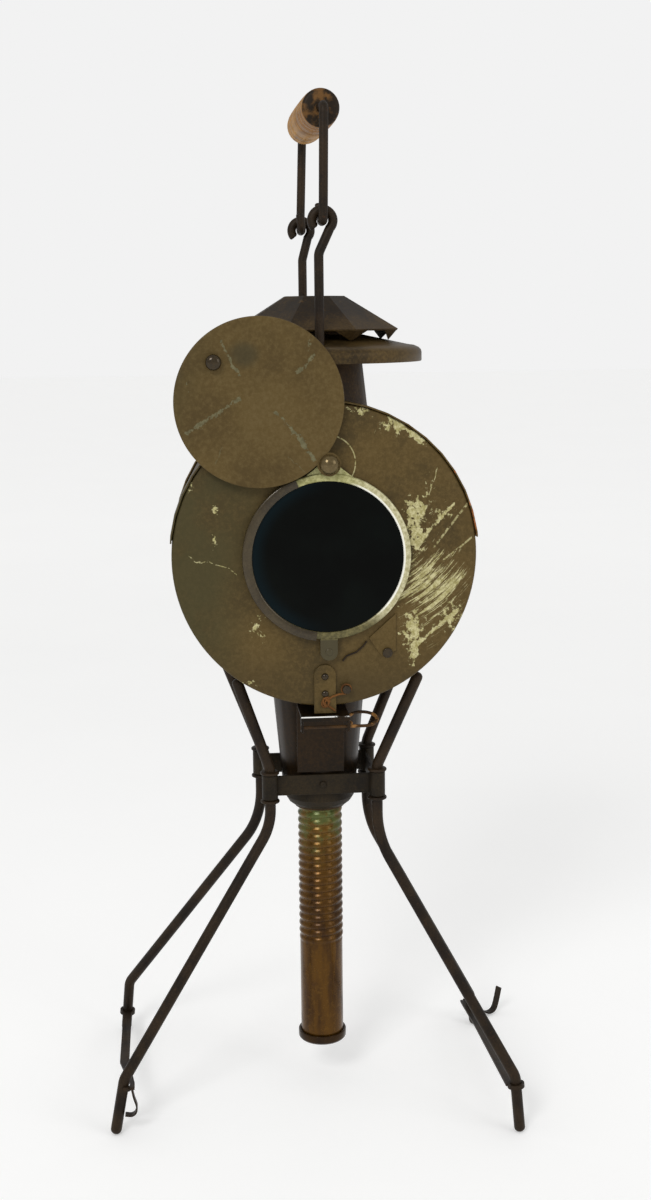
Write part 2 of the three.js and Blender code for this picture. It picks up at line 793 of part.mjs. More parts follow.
// Rivet through cover, filter and lid, with the washers that space them
function pivotPieces() {
  const cover_face = -lid_front - cover_front;
  const head = domedHead(pivot_head_radius, pivot_head_height, cover_face - seat_gap);
  const tail_front = -lid_front + sheet + seat_gap;
  const shank = rodAlongY(pivot_radius, cover_face - 2 * seat_gap, tail_front + seat_gap, small_sides);
  const tail = rodAlongY(pivot_tail_radius, tail_front, tail_front + pivot_tail_height, small_sides);
  const washer = (front, back) => {
    const disc = rodAlongY(washer_radius, front, back, small_sides);
    const bore = rodAlongY(pivot_bore, front - cut_overrun, back + cut_overrun, small_sides);
    return cut(disc, bore);
  };
  const ear_back = -lid_front - filter_back - seat_gap;
  const ear_front = ear_back - filter_ear_thickness;
  const cover_back = cover_face + cover_thickness;
  const front_washer = washer(cover_back + seat_gap, ear_front - seat_gap);
  const rear_washer = washer(ear_back + seat_gap, -lid_front - seat_gap);
  const group = assembly(
    piece('pivot_rivet', join(head, shank, tail), dark_tin),
    piece('pivot_washer_front', front_washer, dark_tin),
    piece('pivot_washer_rear', rear_washer, dark_tin),
  );
  group.position.set(pivot_x, 0, pivot_z);
  return group;
}

// Filter, drawn about its pivot with the lens centre straight below
function filterPieces() {
  const back = -lid_front - filter_back;
  const front = back - filter_frame_depth;
  const pocket = filter_glass_radius + seat_gap;
  const ring = turnedAboutY([
    point(filter_sight_radius, front),
    point(filter_frame_radius, front),
    point(filter_frame_radius, back),
    point(filter_sight_radius, back),
    point(filter_sight_radius, back - filter_lip),
    point(pocket, back - filter_lip),
    point(pocket, front + filter_lip),
    point(filter_sight_radius, front + filter_lip),
  ], large_sides).translate(0, 0, -pivot_reach);
  const wall_middle = (pocket + filter_frame_radius) / 2;
  const half = filter_ear_half_width;
  const ear_drop = Math.sqrt(wall_middle ** 2 - half ** 2) - pivot_reach;
  const ear_shape = new THREE.Shape();
  ear_shape.moveTo(filter_boss_radius, 0);
  ear_shape.absarc(0, 0, filter_boss_radius, 0, 180 * degrees, false);
  ear_shape.lineTo(-filter_ear_shoulder, -filter_ear_drop);
  ear_shape.lineTo(-half, ear_drop);
  ear_shape.lineTo(0, wall_middle - pivot_reach);
  ear_shape.lineTo(half, ear_drop);
  ear_shape.lineTo(filter_ear_shoulder, -filter_ear_drop);
  ear_shape.closePath();
  const ear_front = back - seat_gap - filter_ear_thickness;
  const ear = frontPlate(ear_shape, ear_front, filter_ear_thickness);
  const tab_shape = new THREE.Shape();
  const tab_top = -pivot_reach - filter_frame_radius + filter_lip;
  const tab_half = filter_tab_width / 2;
  const tab_centre = tab_top - filter_tab_length + tab_half;
  tab_shape.moveTo(-tab_half, tab_top);
  tab_shape.lineTo(-tab_half, tab_centre);
  tab_shape.absarc(0, tab_centre, tab_half, 180 * degrees, 360 * degrees, false);
  tab_shape.lineTo(tab_half, tab_top);
  tab_shape.closePath();
  const tab = frontPlate(tab_shape, front + filter_tab_inset, filter_ear_thickness);
  const bore = rodAlongY(pivot_bore, ear_front - cut_overrun, back + cut_overrun, small_sides);
  const dimple = rodAlongY(filter_tab_hole, ear_front - cut_overrun, back + cut_overrun, small_sides);
  dimple.translate(0, 0, tab_centre);
  const frame = cut(join(ring, ear, tab), bore, dimple);
  const glass_front = (front + back - filter_glass_thickness) / 2;
  const glass_back = glass_front + filter_glass_thickness;
  const glass = rodAlongY(filter_glass_radius, glass_front, glass_back, large_sides);
  const channel_inner = filter_frame_radius + seat_gap;
  const channel_front = front - seat_gap;
  const channel = turnedAboutY([
    point(filter_sight_radius, channel_front),
    point(channel_inner, channel_front),
    point(channel_inner, back - channel_sheet),
    point(channel_inner + channel_sheet, back - channel_sheet),
    point(channel_inner + channel_sheet, channel_front - channel_sheet / 2),
    point(channel_inner + channel_sheet / 2, channel_front - channel_sheet),
    point(filter_sight_radius, channel_front - channel_sheet),
  ], large_sides);
  const wedge = new THREE.Shape();
  const wedge_reach = 2 * filter_frame_radius;
  wedge.moveTo(0, 0);
  wedge.lineTo(
    wedge_reach * Math.cos(channel_start_angle * degrees),
    wedge_reach * Math.sin(channel_start_angle * degrees),
  );
  wedge.absarc(0, 0, wedge_reach, channel_start_angle * degrees, channel_end_angle * degrees, false);
  wedge.closePath();
  const kept = frontPlate(wedge, channel_front - wedge_reach, 2 * wedge_reach);
  const half_channel = geometryOf(solid(channel).intersect(solid(kept))).translate(0, 0, -pivot_reach);
  const group = assembly(
    piece('filter_channel', half_channel, bare_olive),
    piece('filter_frame', frame, bare_olive),
    piece('filter_glass', glass.translate(0, 0, -pivot_reach), dark_glass),
  );
  group.position.set(pivot_x, 0, pivot_z);
  group.rotation.y = Math.atan2(pivot_offset_x, pivot_reach);
  return group;
}

// Cover, drawn about its pivot and turned to where it is left open
function coverPieces() {
  const front = -lid_front - cover_front;
  const back = front + cover_thickness;
  const disc = rodAlongY(cover_radius, front, back, large_sides).translate(cover_reach, 0, 0);
  const ear = rodAlongY(cover_ear_radius, front, back, middle_sides);
  const bore = rodAlongY(pivot_bore, front - cut_overrun, back + cut_overrun, small_sides);
  const stem_hole = cover_knob_stem + seat_gap;
  const stem_bore = rodAlongY(stem_hole, front - cut_overrun, back + cut_overrun, small_sides);
  stem_bore.translate(cover_knob_reach, 0, 0);
  const plate = cut(join(disc, ear), bore, stem_bore);
  const base = front - seat_gap;
  const knob = turnedAboutY([
    point(0, back + seat_gap),
    point(cover_knob_stem, back + seat_gap),
    point(cover_knob_stem, base),
    point(cover_knob_radius * 0.55, base),
    point(cover_knob_radius * 0.6, base - cover_knob_height * 0.3),
    point(cover_knob_radius, base - cover_knob_height * 0.55),
    point(cover_knob_radius * 0.8, base - cover_knob_height * 0.85),
    point(0, base - cover_knob_height),
  ], middle_sides).translate(cover_knob_reach, 0, 0);
  const group = assembly(piece('cover_disc', plate, olive_paint), piece('cover_knob', knob, dark_tin));
  group.position.set(pivot_x, 0, pivot_z);
  group.rotation.y = -cover_open_angle * degrees;
  return group;
}

// Chimney, skirt and roof

function chimneyRadiusAt(height) {
  const share = (height - chimney_base_height) / (chimney_top_height - chimney_base_height);
  return chimney_base_radius + (chimney_top_radius - chimney_base_radius) * share;
}

function chimneyTube() {
  const line = [
    point(chimney_top_radius, chimney_top_height),
    point(chimney_base_radius, chimney_base_height),
  ];
  const tube = turnedAboutZ(thicken(line, sheet), middle_sides);
  return piece('chimney_tube', cut(tube, drumBody(seat_gap)), dark_tin);
}

function skirtTopAt(radius) {
  const inner = chimneyRadiusAt(skirt_inner_height);
  const share = (radius - inner) / (skirt_shoulder_radius - inner);
  return skirt_inner_height + (skirt_shoulder_height - skirt_inner_height) * share;
}

function skirtDisc() {
  const inner = chimneyRadiusAt(skirt_inner_height - 2 * skirt_sheet) + 2 * seat_gap;
  const shoulder = skirt_rim_radius - skirt_shoulder_radius;
  const drop = skirt_shoulder_height - skirt_rim_top;
  const line = [
    point(inner, skirt_inner_height),
    point(skirt_shoulder_radius, skirt_shoulder_height),
    point(skirt_shoulder_radius + shoulder * 0.55, skirt_shoulder_height - drop * 0.2),
    point(skirt_shoulder_radius + shoulder * 0.88, skirt_shoulder_height - drop * 0.55),
    point(skirt_rim_radius, skirt_rim_top),
    point(skirt_rim_radius, skirt_rim_bottom),
  ];
  const disc = turnedAboutZ(thicken(line, skirt_sheet), large_sides);
  const holes = [-1, 1].map((side) => {
    const x = side < 0 ? stay_front_x : stay_rear_x;
    const hole_top = skirt_inner_height + cut_overrun;
    const hole = rodAlongZ(stay_radius + seat_gap, skirt_rim_bottom, hole_top, small_sides);
    return hole.translate(x, side * stay_y, 0);
  });
  return piece('skirt_disc', cut(disc, ...holes), dark_tin);
}

// One folded foot at a corner of the roof, reaching down to the skirt
function roofFoot(corner) {
  const turn = (corner + 0.5) * (360 / roof_sides) * degrees;
  const side = 180 * degrees / roof_sides;
  const [cos, sin] = [Math.cos(turn), Math.sin(turn)];
  const at = (radius, aside, height) => [radius * cos - aside * sin, radius * sin + aside * cos, height];
  const top = roof_rim_height - roof_sheet / 2;
  const back = roof_foot_half_width * Math.sin(side);
  const across = roof_foot_half_width * Math.cos(side);
  const tip = skirtTopAt(roof_foot_radius) + seat_gap;
  const inset = roof_sheet / 2;
  const rim = roof_rim_radius - inset;
  const positions = [
    ...at(rim, 0, top),
    ...at(rim - back, across, top),
    ...at(rim - back, -across, top),
    ...at(roof_foot_radius, 0, tip),
  ];
  const foot = new THREE.BufferGeometry();
  foot.setAttribute('position', new THREE.Float32BufferAttribute(positions, 3));
  foot.setIndex([0, 1, 2, 0, 3, 1, 0, 2, 3, 1, 3, 2]);
  return foot;
}

function cowlRoof() {
  const line = [
    point(0, roof_top_height),
    point(roof_top_radius, roof_top_height),
    point(roof_rim_radius, roof_rim_height),
  ];
  const half_turn = (180 / roof_sides) * degrees;
  const roof = turnedAboutZ(thicken(line, roof_sheet), roof_sides).rotateZ(half_turn);
  const feet = Array.from({ length: roof_sides }, (_, corner) => roofFoot(corner));
  return piece('cowl_roof', join(roof, ...feet), dark_tin);
}

// Stays and bail

// A stay rises from the chimney, through the skirt, to an open eye in a plane square to Y
function stay(name, side, x, eye_x_at) {
  const y = side * stay_y;
  const foot_y = side * (chimneyRadiusAt(stay_foot_height) + stay_radius + seat_gap);
  const eyePoint = (turn) => place(
    eye_x_at + eye_wire_circle * Math.cos(turn),
    y,
    eye_height_z + eye_wire_circle * Math.sin(turn),
  );
  const neck = [
    place(x, foot_y, stay_foot_height),
    place(x, foot_y, stay_bend_height),
    place(x, y, stay_shoulder_height),
    place(x, y, stay_neck_height),
    eyePoint(-45 * degrees),
  ];
  const path = bent(neck, 2 * stay_radius, 2);
  const steps = 9;
  for (let i = 1; i <= steps; i++) {
    const turn = (-45 + (270 * i) / steps) * degrees;
    path.push(eyePoint(turn));
  }
  return piece(name, rod(path, stay_radius), black_wire);
}

function stayRivet(name, side, x) {
  const wall = chimneyRadiusAt(stay_foot_height) + 2 * stay_radius + 2 * seat_gap;
  const head = domedHead(stay_rivet_radius, stay_rivet_radius / 2, -wall);
  if (side > 0) head.rotateZ(180 * degrees);
  return piece(name, head.translate(x, 0, stay_foot_height + stay_rivet_radius), dark_tin);
}

// The bail is one wire: hook, upright, grip core, upright and hook
function bailPieces() {
  const seat_z = eye_height_z - bail_seat_drop;
  const end = (side, x, grip_x) => [
    place(x - bail_tip_lean, side * bail_hook_y, seat_z + bail_tip_rise),
    place(x, side * bail_hook_y, seat_z),
    place(x, side * bail_y, seat_z),
    place(grip_x, side * bail_y, grip_height),
  ];
  const corners = [
    ...end(-1, stay_front_eye_x, grip_front_x),
    ...end(1, stay_rear_eye_x, grip_rear_x).reverse(),
  ];
  const wire = rod(bent(corners, bail_bend), bail_radius);
  const half = grip_length / 2;
  const bore = bail_radius + grip_bore_clearance;
  const grip = turnedAboutY([
    point(bore, -half),
    point(grip_end_radius - grip_chamfer, -half),
    point(grip_end_radius, -half + grip_chamfer),
    point(grip_radius, -half * 0.55),
    point(grip_radius, half * 0.55),
    point(grip_end_radius, half - grip_chamfer),
    point(grip_end_radius - grip_chamfer, half),
    point(bore, half),
  ], middle_sides);
  const grip_piece = piece('grip', grip, turned_wood);
  grip_piece.position.set((grip_front_x + grip_rear_x) / 2, 0, grip_height);
  grip_piece.rotation.z = Math.atan2(grip_front_x - grip_rear_x, 2 * bail_y);
  return assembly(piece('bail_wire', wire, black_wire), grip_piece);
}

// Neck and socket

function neckRadiusAt(height) {
  const share = (height - neck_bottom_height) / (neck_top_height - neck_bottom_height);
  return neck_bottom_radius + (neck_top_radius - neck_bottom_radius) * share;
}

function neckPieces() {
  const line = [point(neck_top_radius, neck_top_height), point(neck_bottom_radius, neck_bottom_height)];
  const tube = cut(turnedAboutZ(thicken(line, sheet), middle_sides), drumBody(seat_gap));
  const bore = thread_crest + thread_clearance;
  const socket_radius = bore + socket_wall;
  const rim = neck_bottom_radius - sheet - seat_gap;
  const floor = neck_bottom_height - dish_drop;
  const dish_line = [
    point(rim, neck_bottom_height + dish_lap),
    point(rim, neck_bottom_height - dish_wall),
    point(rim - (rim - socket_radius) * 0.35, floor + dish_drop * 0.18),
    point(socket_radius + seat_gap + sheet, floor),
  ];
  const dish = turnedAboutZ(thicken(dish_line, sheet), middle_sides);
  const flange = floor + socket_flange_rise;
  const socket = turnedAboutZ([
    point(bore, floor - socket_proud),
    point(socket_radius, floor - socket_proud),
    point(socket_radius, flange),
    point(socket_radius + socket_flange, flange),
    point(socket_radius + socket_flange, flange + socket_wall),
    point(socket_radius, flange + socket_wall),
    point(socket_radius, floor + socket_length),
    point(bore, floor + socket_length),
  ], middle_sides);
  return assembly(
    piece('neck_tube', tube, dark_tin),
    piece('neck_dish', dish, dark_tin),
    piece('thread_socket', socket, dark_tin),
  );
}

// The catch is bent from one strip: a panel up the neck, a ledge and a turned-down lip
function catchPieces() {
  const lean = (height) => neckRadiusAt(height) + seat_gap;
  const line = [
    point(-lean(catch_bottom), catch_bottom),
    point(-lean(catch_top), catch_top),
    point(ledge_front_y, catch_top),
    point(ledge_front_y, catch_top - catch_lip),
  ];
  const outline = thicken(line.reverse(), catch_sheet);
  const depth = { depth: catch_width, bevelEnabled: false };
  const strip = new THREE.ExtrudeGeometry(new THREE.Shape(outline), depth);
  strip.rotateX(90 * degrees).rotateZ(90 * degrees).translate(-catch_width / 2, 0, 0);
  const pin_z = catch_top - pin_drop;
  const pin_y = ledge_front_y + lug_depth / 2;
  const lug = (x) => block(
    place(x - lug_thickness / 2, ledge_front_y + catch_sheet / 2, catch_top - lug_height),
    place(x + lug_thickness / 2, ledge_front_y + lug_depth, catch_top - catch_sheet / 2),
  );
  const lug_x = (catch_width - lug_thickness) / 2;
  const pin_bore = rodAlongY(pin_radius + pin_clearance, -catch_width, catch_width, small_sides);
  pin_bore.rotateZ(90 * degrees).translate(0, pin_y, pin_z);
  const bracket = cut(join(strip, lug(-lug_x), lug(lug_x)), pin_bore);
  bracket.translate(catch_offset_x, 0, 0);
  const pin_start = -catch_width / 2 - pin_proud;
  const ring_x = catch_width / 2 + pin_ring_offset;
  const tilt = pin_ring_tilt * degrees;
  const steps = 14;
  const path = [place(pin_start, pin_y, pin_z), place(0, pin_y, pin_z)];
  for (let i = 0; i <= steps; i++) {
    const turn = (pin_ring_sweep * degrees * i) / steps;
    const rearward = pin_ring_radius * (1 - Math.cos(turn));
    path.push(place(
      ring_x + pin_ring_radius * Math.sin(turn),
      pin_y + rearward * Math.cos(tilt),
      pin_z + rearward * Math.sin(tilt),
    ));
  }
  return assembly(
    piece('catch_bracket', bracket, dark_tin),
    piece('lock_pin', rod(path, pin_radius, 6).translate(catch_offset_x, 0, 0), rusty_wire),
  );
}

// Collar

function barrel(leg) {
  const at = barrelAt(leg);
  const top = barrel_bottom + barrel_height;
  return rodAlongZ(barrel_radius, barrel_bottom, top, middle_sides).translate(at.x, at.y, 0);
}

function barrelBore(leg) {
  const at = barrelAt(leg);
  const top = barrel_bottom + barrel_height + cut_overrun;
  return rodAlongZ(leg_bore, barrel_bottom - cut_overrun, top, middle_sides).translate(at.x, at.y, 0);
}

function strap(line) {
  const shape = new THREE.Shape(thicken(line, collar_sheet));
  const options = { depth: collar_height, bevelEnabled: false };
  return new THREE.ExtrudeGeometry(shape, options).translate(0, 0, collar_bottom);
}

function collarPieces() {
  const hug = neckRadiusAt(collar_bottom + collar_height) + seat_gap;
  const x_of = (name) => barrelAt(legs[name]).x;
  const fronts = [legs.front_left, legs.front_right];
  const rears = [legs.rear_left, legs.rear_right];
  const front_strap = strap([point(x_of('front_left'), -hug), point(x_of('front_right'), -hug)]);
  const front = cut(join(front_strap, ...fronts.map(barrel)), ...fronts.map(barrelBore));
  const gap_end = -barrel_y + barrel_radius + seat_gap;
  const back_strap = strap([point(x_of('rear_right'), hug), point(x_of('rear_left'), hug)]);
  const right_strap = strap([point(x_of('rear_right'), barrel_y), point(x_of('front_right'), gap_end)]);
  const left_strap = strap([point(x_of('front_left'), gap_end), point(x_of('rear_left'), barrel_y)]);
  const rear = cut(
    join(back_strap, right_strap, left_strap, ...rears.map(barrel)),
    ...rears.map(barrelBore),
  );
  const rivet = domedHead(collar_rivet_radius, collar_rivet_height, -hug - collar_sheet - seat_gap);
  rivet.translate(0, 0, collar_bottom + collar_height / 2);
  return assembly(
    piece('collar_front', front, dark_tin),
    piece('collar_rear', rear, dark_tin),
    piece('collar_rivet_front', rivet, dark_tin),
    piece('collar_rivet_rear', rivet.clone().rotateZ(180 * degrees), dark_tin),
  );
}

// Candle tube, its thread and what it holds

// A tube with a single-start thread rolled into its wall, drawn along the helix
function threadedTube() {
  const columns = 16;
  const rows = 2 * thread_turns;
  const positions = [];
  const index = [];
  const ring = (radius, height) => {
    const start = positions.length / 3;
    for (let c = 0; c < columns; c++) {
      const turn = (360 * degrees * c) / columns;
      positions.push(radius * Math.cos(turn), radius * Math.sin(turn), height);
    }
    return start;
  };
  const face = (a, b, c) => index.push(a, b, c);
  const band = (lower, upper) => {
    for (let c = 0; c < columns; c++) {
      const next = (c + 1) % columns;
      face(lower + c, lower + next, upper + next);
      face(lower + c, upper + next, upper + c);
    }
  };
  const thread_top = thread_bottom + (thread_turns + 1) * thread_pitch;
  const helix = positions.length / 3;
  for (let c = 0; c < columns; c++) {
    const turn = (360 * degrees * c) / columns;
    for (let k = 0; k <= rows; k++) {
      const radius = k % 2 === 0 ? thread_root : thread_crest;
      const height = thread_bottom + thread_pitch * (c / columns + k / 2);
      positions.push(radius * Math.cos(turn), radius * Math.sin(turn), height);
    }
  }
  const at = (c, k) => helix + c * (rows + 1) + k;
  const last = columns - 1;
  for (let k = 0; k < rows; k++) {
    for (let c = 0; c < last; c++) {
      face(at(c, k), at(c + 1, k), at(c + 1, k + 1));
      face(at(c, k), at(c + 1, k + 1), at(c, k + 1));
    }
    if (k + 3 <= rows) {
      face(at(last, k), at(0, k + 2), at(0, k + 3));
      face(at(last, k), at(0, k + 3), at(last, k + 1));
    }
  }
  const below = ring(tube_radius, thread_bottom - thread_pitch / 2);
  const above = ring(tube_radius, thread_top + thread_pitch / 2);
  for (let c = 0; c < last; c++) {
    face(below + c, below + c + 1, at(c + 1, 0));
    face(below + c, at(c + 1, 0), at(c, 0));
    face(at(c, rows), at(c + 1, rows), above + c + 1);
    face(at(c, rows), above + c + 1, above + c);
  }
  const seams = [[below + last, below], [below, at(0, 0)], [at(0, 0), at(0, 1)], [at(0, 1), at(0, 2)]];
  for (const [a, b] of seams) {
    face(at(last, 0), a, b);
  }
  const top_chain = [above, above + last, at(last, rows), at(last, rows - 1), at(last, rows - 2)];
  for (let i = 0; i + 1 < top_chain.length; i++) face(at(0, rows), top_chain[i], top_chain[i + 1]);
  const outer_bottom = ring(tube_radius, tube_bottom);
  const outer_top = ring(tube_radius, tube_top);
  const inner_bottom = ring(tube_bore, tube_bottom);
  const inner_top = ring(tube_bore, tube_top);
  band(outer_bottom, below);
  band(above, outer_top);
  band(outer_top, inner_top);
  band(inner_top, inner_bottom);
  band(inner_bottom, outer_bottom);
  const tube = new THREE.BufferGeometry();
  tube.setAttribute('position', new THREE.Float32BufferAttribute(positions, 3));
  tube.setIndex(index);
  return tube;
}

function tubePieces() {
  const cap_bottom = tube_bottom - end_cap_dome;
  const cap_line = [
    point(0, cap_bottom),
    point(end_cap_radius * 0.6, cap_bottom + end_cap_dome * 0.2),
    point(end_cap_radius * 0.88, cap_bottom + end_cap_dome * 0.6),
    point(end_cap_radius, cap_bottom + end_cap_dome * 1.3),
    point(end_cap_radius, cap_bottom + end_cap_height),
  ];
  const cap_wall = end_cap_radius - tube_radius - seat_gap;
  const cap_floor = tube_bottom - seat_gap;
  const cap = cut(
    turnedAboutZ([...cap_line, point(0, cap_bottom + end_cap_height)], middle_sides),
    rodAlongZ(end_cap_radius - cap_wall, cap_floor, tube_bottom + end_cap_height, middle_sides),
  );
  const wall = nozzle_radius - tube_radius - seat_gap;
  const shoulder = tube_top + 2 * seat_gap + wall * nozzle_slope;
  const nozzle_line = [
    point(nozzle_mouth, shoulder + nozzle_rise),
    point(nozzle_radius - wall, shoulder),
    point(nozzle_radius, shoulder - wall),
    point(nozzle_radius, shoulder - nozzle_skirt),
  ];
  const nozzle = turnedAboutZ(thicken(nozzle_line, wall), middle_sides);
  return assembly(
    piece('candle_tube', threadedTube(), aged_brass),
    piece('end_cap', cap, aged_brass),
    piece('nozzle_cap', nozzle, aged_brass),
  );
}

// The pusher spring, wound as one unbroken wire with a closed turn at each end
function coilGeometry(bottom, top) {
  const steps_per_turn = 8;
  const steps = coil_turns * steps_per_turn;
  const path = [];
  for (let i = 0; i <= steps; i++) {
    const turn = (360 * degrees * i) / steps_per_turn;
    const height = bottom + ((top - bottom) * i) / steps;
    path.push(place(coil_radius * Math.cos(turn), coil_radius * Math.sin(turn), height));
  }
  let least = Infinity;
  for (let i = 0; i < path.length; i++) {
    for (let j = i + steps_per_turn - 1; j < path.length; j++) {
      least = Math.min(least, path[i].distanceTo(path[j]));
    }
  }
  console.log(`pusher spring: least gap to itself ${(least - 2 * coil_wire).toFixed(2)} mm`);
  return rod(path, coil_wire, 5);
}

function candlePieces() {
  const candle_top = tube_top - seat_gap;
  const candle_bottom = candle_top - candle_length;
  const follower_top = candle_bottom - seat_gap;
  const follower_bottom = follower_top - follower_height;
  const spring_bottom = tube_bottom + coil_wire + seat_gap;
  const spring_top = follower_bottom - coil_wire - seat_gap;
  const wick = rodAlongZ(wick_radius, candle_top + seat_gap, candle_top + wick_height, rod_sides);
  const follower = rodAlongZ(follower_radius, follower_bottom, follower_top, middle_sides);
  return assembly(
    piece('candle', rodAlongZ(candle_radius, candle_bottom, candle_top, middle_sides), tallow),
    piece('wick', wick, tallow),
    piece('candle_follower', follower, aged_brass),
    piece('pusher_spring', coilGeometry(spring_bottom, spring_top), spring_steel),
  );
}

// Legs

// The bends of one leg in the upright plane that it is bent in: reach outwards and height
function legLine(leg) {
  return [
    [leg_arm_reach * leg.arm_reach_share, leg_elbow_height + leg_arm_rise * leg.arm_rise_share],
    [0, leg_elbow_height],
    [0, barrel_bottom - leg_fork_drop * leg.fork_share],
    [leg_knee_reach * leg.knee_reach_share, leg_knee_height * leg.knee_height_share],
    [leg_foot_reach * leg.foot_reach_share, 0],
  ];
}

function barrelAt(leg, height = 0) {
  return place(leg.x * barrel_x * leg.barrel_share, leg.y * barrel_y, height);
}

// The direction of a leg seen from above, from its swivel angle
function legHeading(leg) {
  return place(leg.x * Math.cos(leg.swivel * degrees), leg.y * Math.sin(leg.swivel * degrees), 0);
}

function legPoint(leg, reach, height) {
  return barrelAt(leg, height).addScaledVector(legHeading(leg), reach);
}

function legPiece(leg) {
  const line = legLine(leg);
  const [knee, foot] = [line[3], line[4]];
  const lean = (foot[0] - knee[0]) / (knee[1] - foot[1]);
  const toe = [foot[0] + lean * cut_overrun, -cut_overrun];
  const corners = [...line.slice(0, 4), toe].map(([reach, height]) => legPoint(leg, reach, height));
  const bends = bent(corners, [leg_elbow_bend, leg_fork_bend * leg.fork_bend_share, leg_knee_bend], 4);
  const wire = rod(bends, leg_radius);
  const span = leg_foot_reach + barrel_x + leg_arm_reach;
  const floor = block(place(-2 * span, -2 * span, -2 * cut_overrun), place(2 * span, 2 * span, 0));
  const barrel_at = barrelAt(leg);
  const bead = (bottom) => (
    rodAlongZ(leg_bead_radius, bottom, bottom + leg_bead_height, small_sides)
      .translate(barrel_at.x, barrel_at.y, 0)
  );
  const lower_bead = bead(barrel_bottom - seat_gap - leg_bead_height);
  const upper_bead = bead(barrel_bottom + barrel_height + seat_gap);
  return piece(`${leg.name}_leg`, cut(join(wire, lower_bead, upper_bead), floor), black_wire);
}

// Spreaders

// The point of a leg's lowest stretch at a height, and the upward direction of that stretch
function shin(leg, height) {
  const line = legLine(leg);
  const [knee, foot] = [line[3], line[4]];
  const share = (height - foot[1]) / (knee[1] - foot[1]);
  const at = legPoint(leg, foot[0] + (knee[0] - foot[0]) * share, height);
  const up = legPoint(leg, ...knee).sub(legPoint(leg, ...foot)).normalize();
  return { at, up };
}

function turnedTo(geometry, up, at) {
  const turn = new THREE.Quaternion().setFromUnitVectors(place(0, 0, 1), up);
  return geometry.applyQuaternion(turn).translate(at.x, at.y, at.z);
}

// A flat strip that turns on one leg and passes inside the other, which rests in its hook.
// Its own axes are the line between the legs, outwards from the lamp, and up.
function spreader(name, pivot_leg, pivot_height, hook_leg, hook_height, inset, tab) {
  const pivot = shin(pivot_leg, pivot_height);
  const hook = shin(hook_leg, hook_height);
  const along = hook.at.clone().sub(pivot.at);
  const length = along.length();
  along.normalize();
  const outward = place(pivot_leg.x, 0, 0);
  outward.addScaledVector(along, -outward.dot(along)).normalize();
  const up = place(0, 0, 1);
  up.addScaledVector(along, -up.dot(along)).addScaledVector(outward, -up.dot(outward)).normalize();
  const local = (geometry, at) => {
    const frame = new THREE.Matrix4().makeBasis(along, outward, up).setPosition(at);
    return geometry.applyMatrix4(frame);
  };
  const inside = -leg_bore - seat_gap;
  const outer = leg_bore + spreader_ring_wall;
  const reach = 2 * outer;
  const outline = new THREE.Shape([
    point(0, spreader_width / 2 - inset),
    point(length - spreader_jog, spreader_width / 2 - inset),
    point(length - spreader_ring_height, inside),
    point(length + outer, inside),
    point(length + outer, inside - spreader_hook_width),
    point(length - spreader_ring_height, inside - spreader_hook_width),
    point(length - spreader_jog, -spreader_width / 2 - inset),
    point(0, -spreader_width / 2 - inset),
  ]);
  const options = { depth: spreader_thickness, bevelEnabled: false };
  const flat = new THREE.ExtrudeGeometry(outline, options);
  const strip = local(flat.translate(0, 0, -spreader_thickness / 2), pivot.at);
  const around = (end, radius, height) => (
    turnedTo(rodAlongZ(radius, -height / 2, height / 2, 1.5 * small_sides), end.up, end.at)
  );
  const eye = cut(join(strip, around(pivot, outer, spreader_ring_height)), around(pivot, leg_bore, reach));
  const lip = cut(
    around(hook, outer, spreader_ring_height),
    around(hook, leg_bore, reach),
    local(block(place(-reach, -reach, -reach), place(0, reach, reach)), hook.at),
    local(block(place(-reach, 0, -reach), place(reach, reach, reach)), hook.at),
  );
  const curl_points = tab.line_shares.map(([across, rise]) => point(tab.reach * across, tab.reach * rise));
  const curl_line = new THREE.SplineCurve(curl_points).getPoints(3 * curl_points.length);
  const curl_outline = new THREE.Shape(thicken(curl_line, spreader_tab_sheet));
  const curl = new THREE.ExtrudeGeometry(curl_outline, { depth: spreader_tab_width, bevelEnabled: false });
  curl.rotateY(tab.turn * degrees);
  const curl_at = hook.at.clone().addScaledVector(along, tab.ahead);
  curl.applyMatrix4(new THREE.Matrix4().makeBasis(outward, up, along).setPosition(curl_at));
  return piece(name, join(eye, lip, curl), black_wire);
}

// The whole lamp

const lamp = assembly(
  drumShell(),
  rearCover(),
  hoodBand(),
  assembly(lid(), lensPieces(), keeperPieces(), haspPieces(), tetherPieces(), pivotPieces()),
  filterPieces(),
  coverPieces(),
  chimneyTube(),
  skirtDisc(),
  cowlRoof(),
  stay('front_stay', -1, stay_front_x, stay_front_eye_x),
  stay('rear_stay', 1, stay_rear_x, stay_rear_eye_x),
  stayRivet('front_stay_rivet', -1, stay_front_x),
  stayRivet('rear_stay_rivet', 1, stay_rear_x),
  bailPieces(),
  neckPieces(),
  catchPieces(),
  collarPieces(),
  tubePieces(),
  candlePieces(),
  ...leg_table.map(legPiece),
  spreader(
    'left_spreader', legs.rear_left, left_pivot_height, legs.front_left, left_hook_height, 0, left_tab,
  ),
  spreader(
    'right_spreader', legs.front_right, right_pivot_height, legs.rear_right, right_hook_height,
    right_strip_inset, right_tab,
  ),
);
const reflector = reflectorPieces();
reflector.position.z = drum_centre_height;
lamp.add(reflector);

// The frame's origin is below the middle of the whole lamp, legs included
const extent = new THREE.Box3().setFromObject(lamp, true);
lamp.position.x = -(extent.min.x + extent.max.x) / 2;
lamp.position.y = -(extent.min.y + extent.max.y) / 2;

export default lamp;
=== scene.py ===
"""A candle-lit hand signal lamp on four wire legs, dressed for rendering.

Shapes are drawn in millimetres about the neck's axis, with +Z up and the lens looking
along -Y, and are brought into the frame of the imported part, in metres, as they are finished.
"""

import logging
import math
from dataclasses import dataclass
from enum import Enum
from typing import Any, Callable, Mapping, Sequence

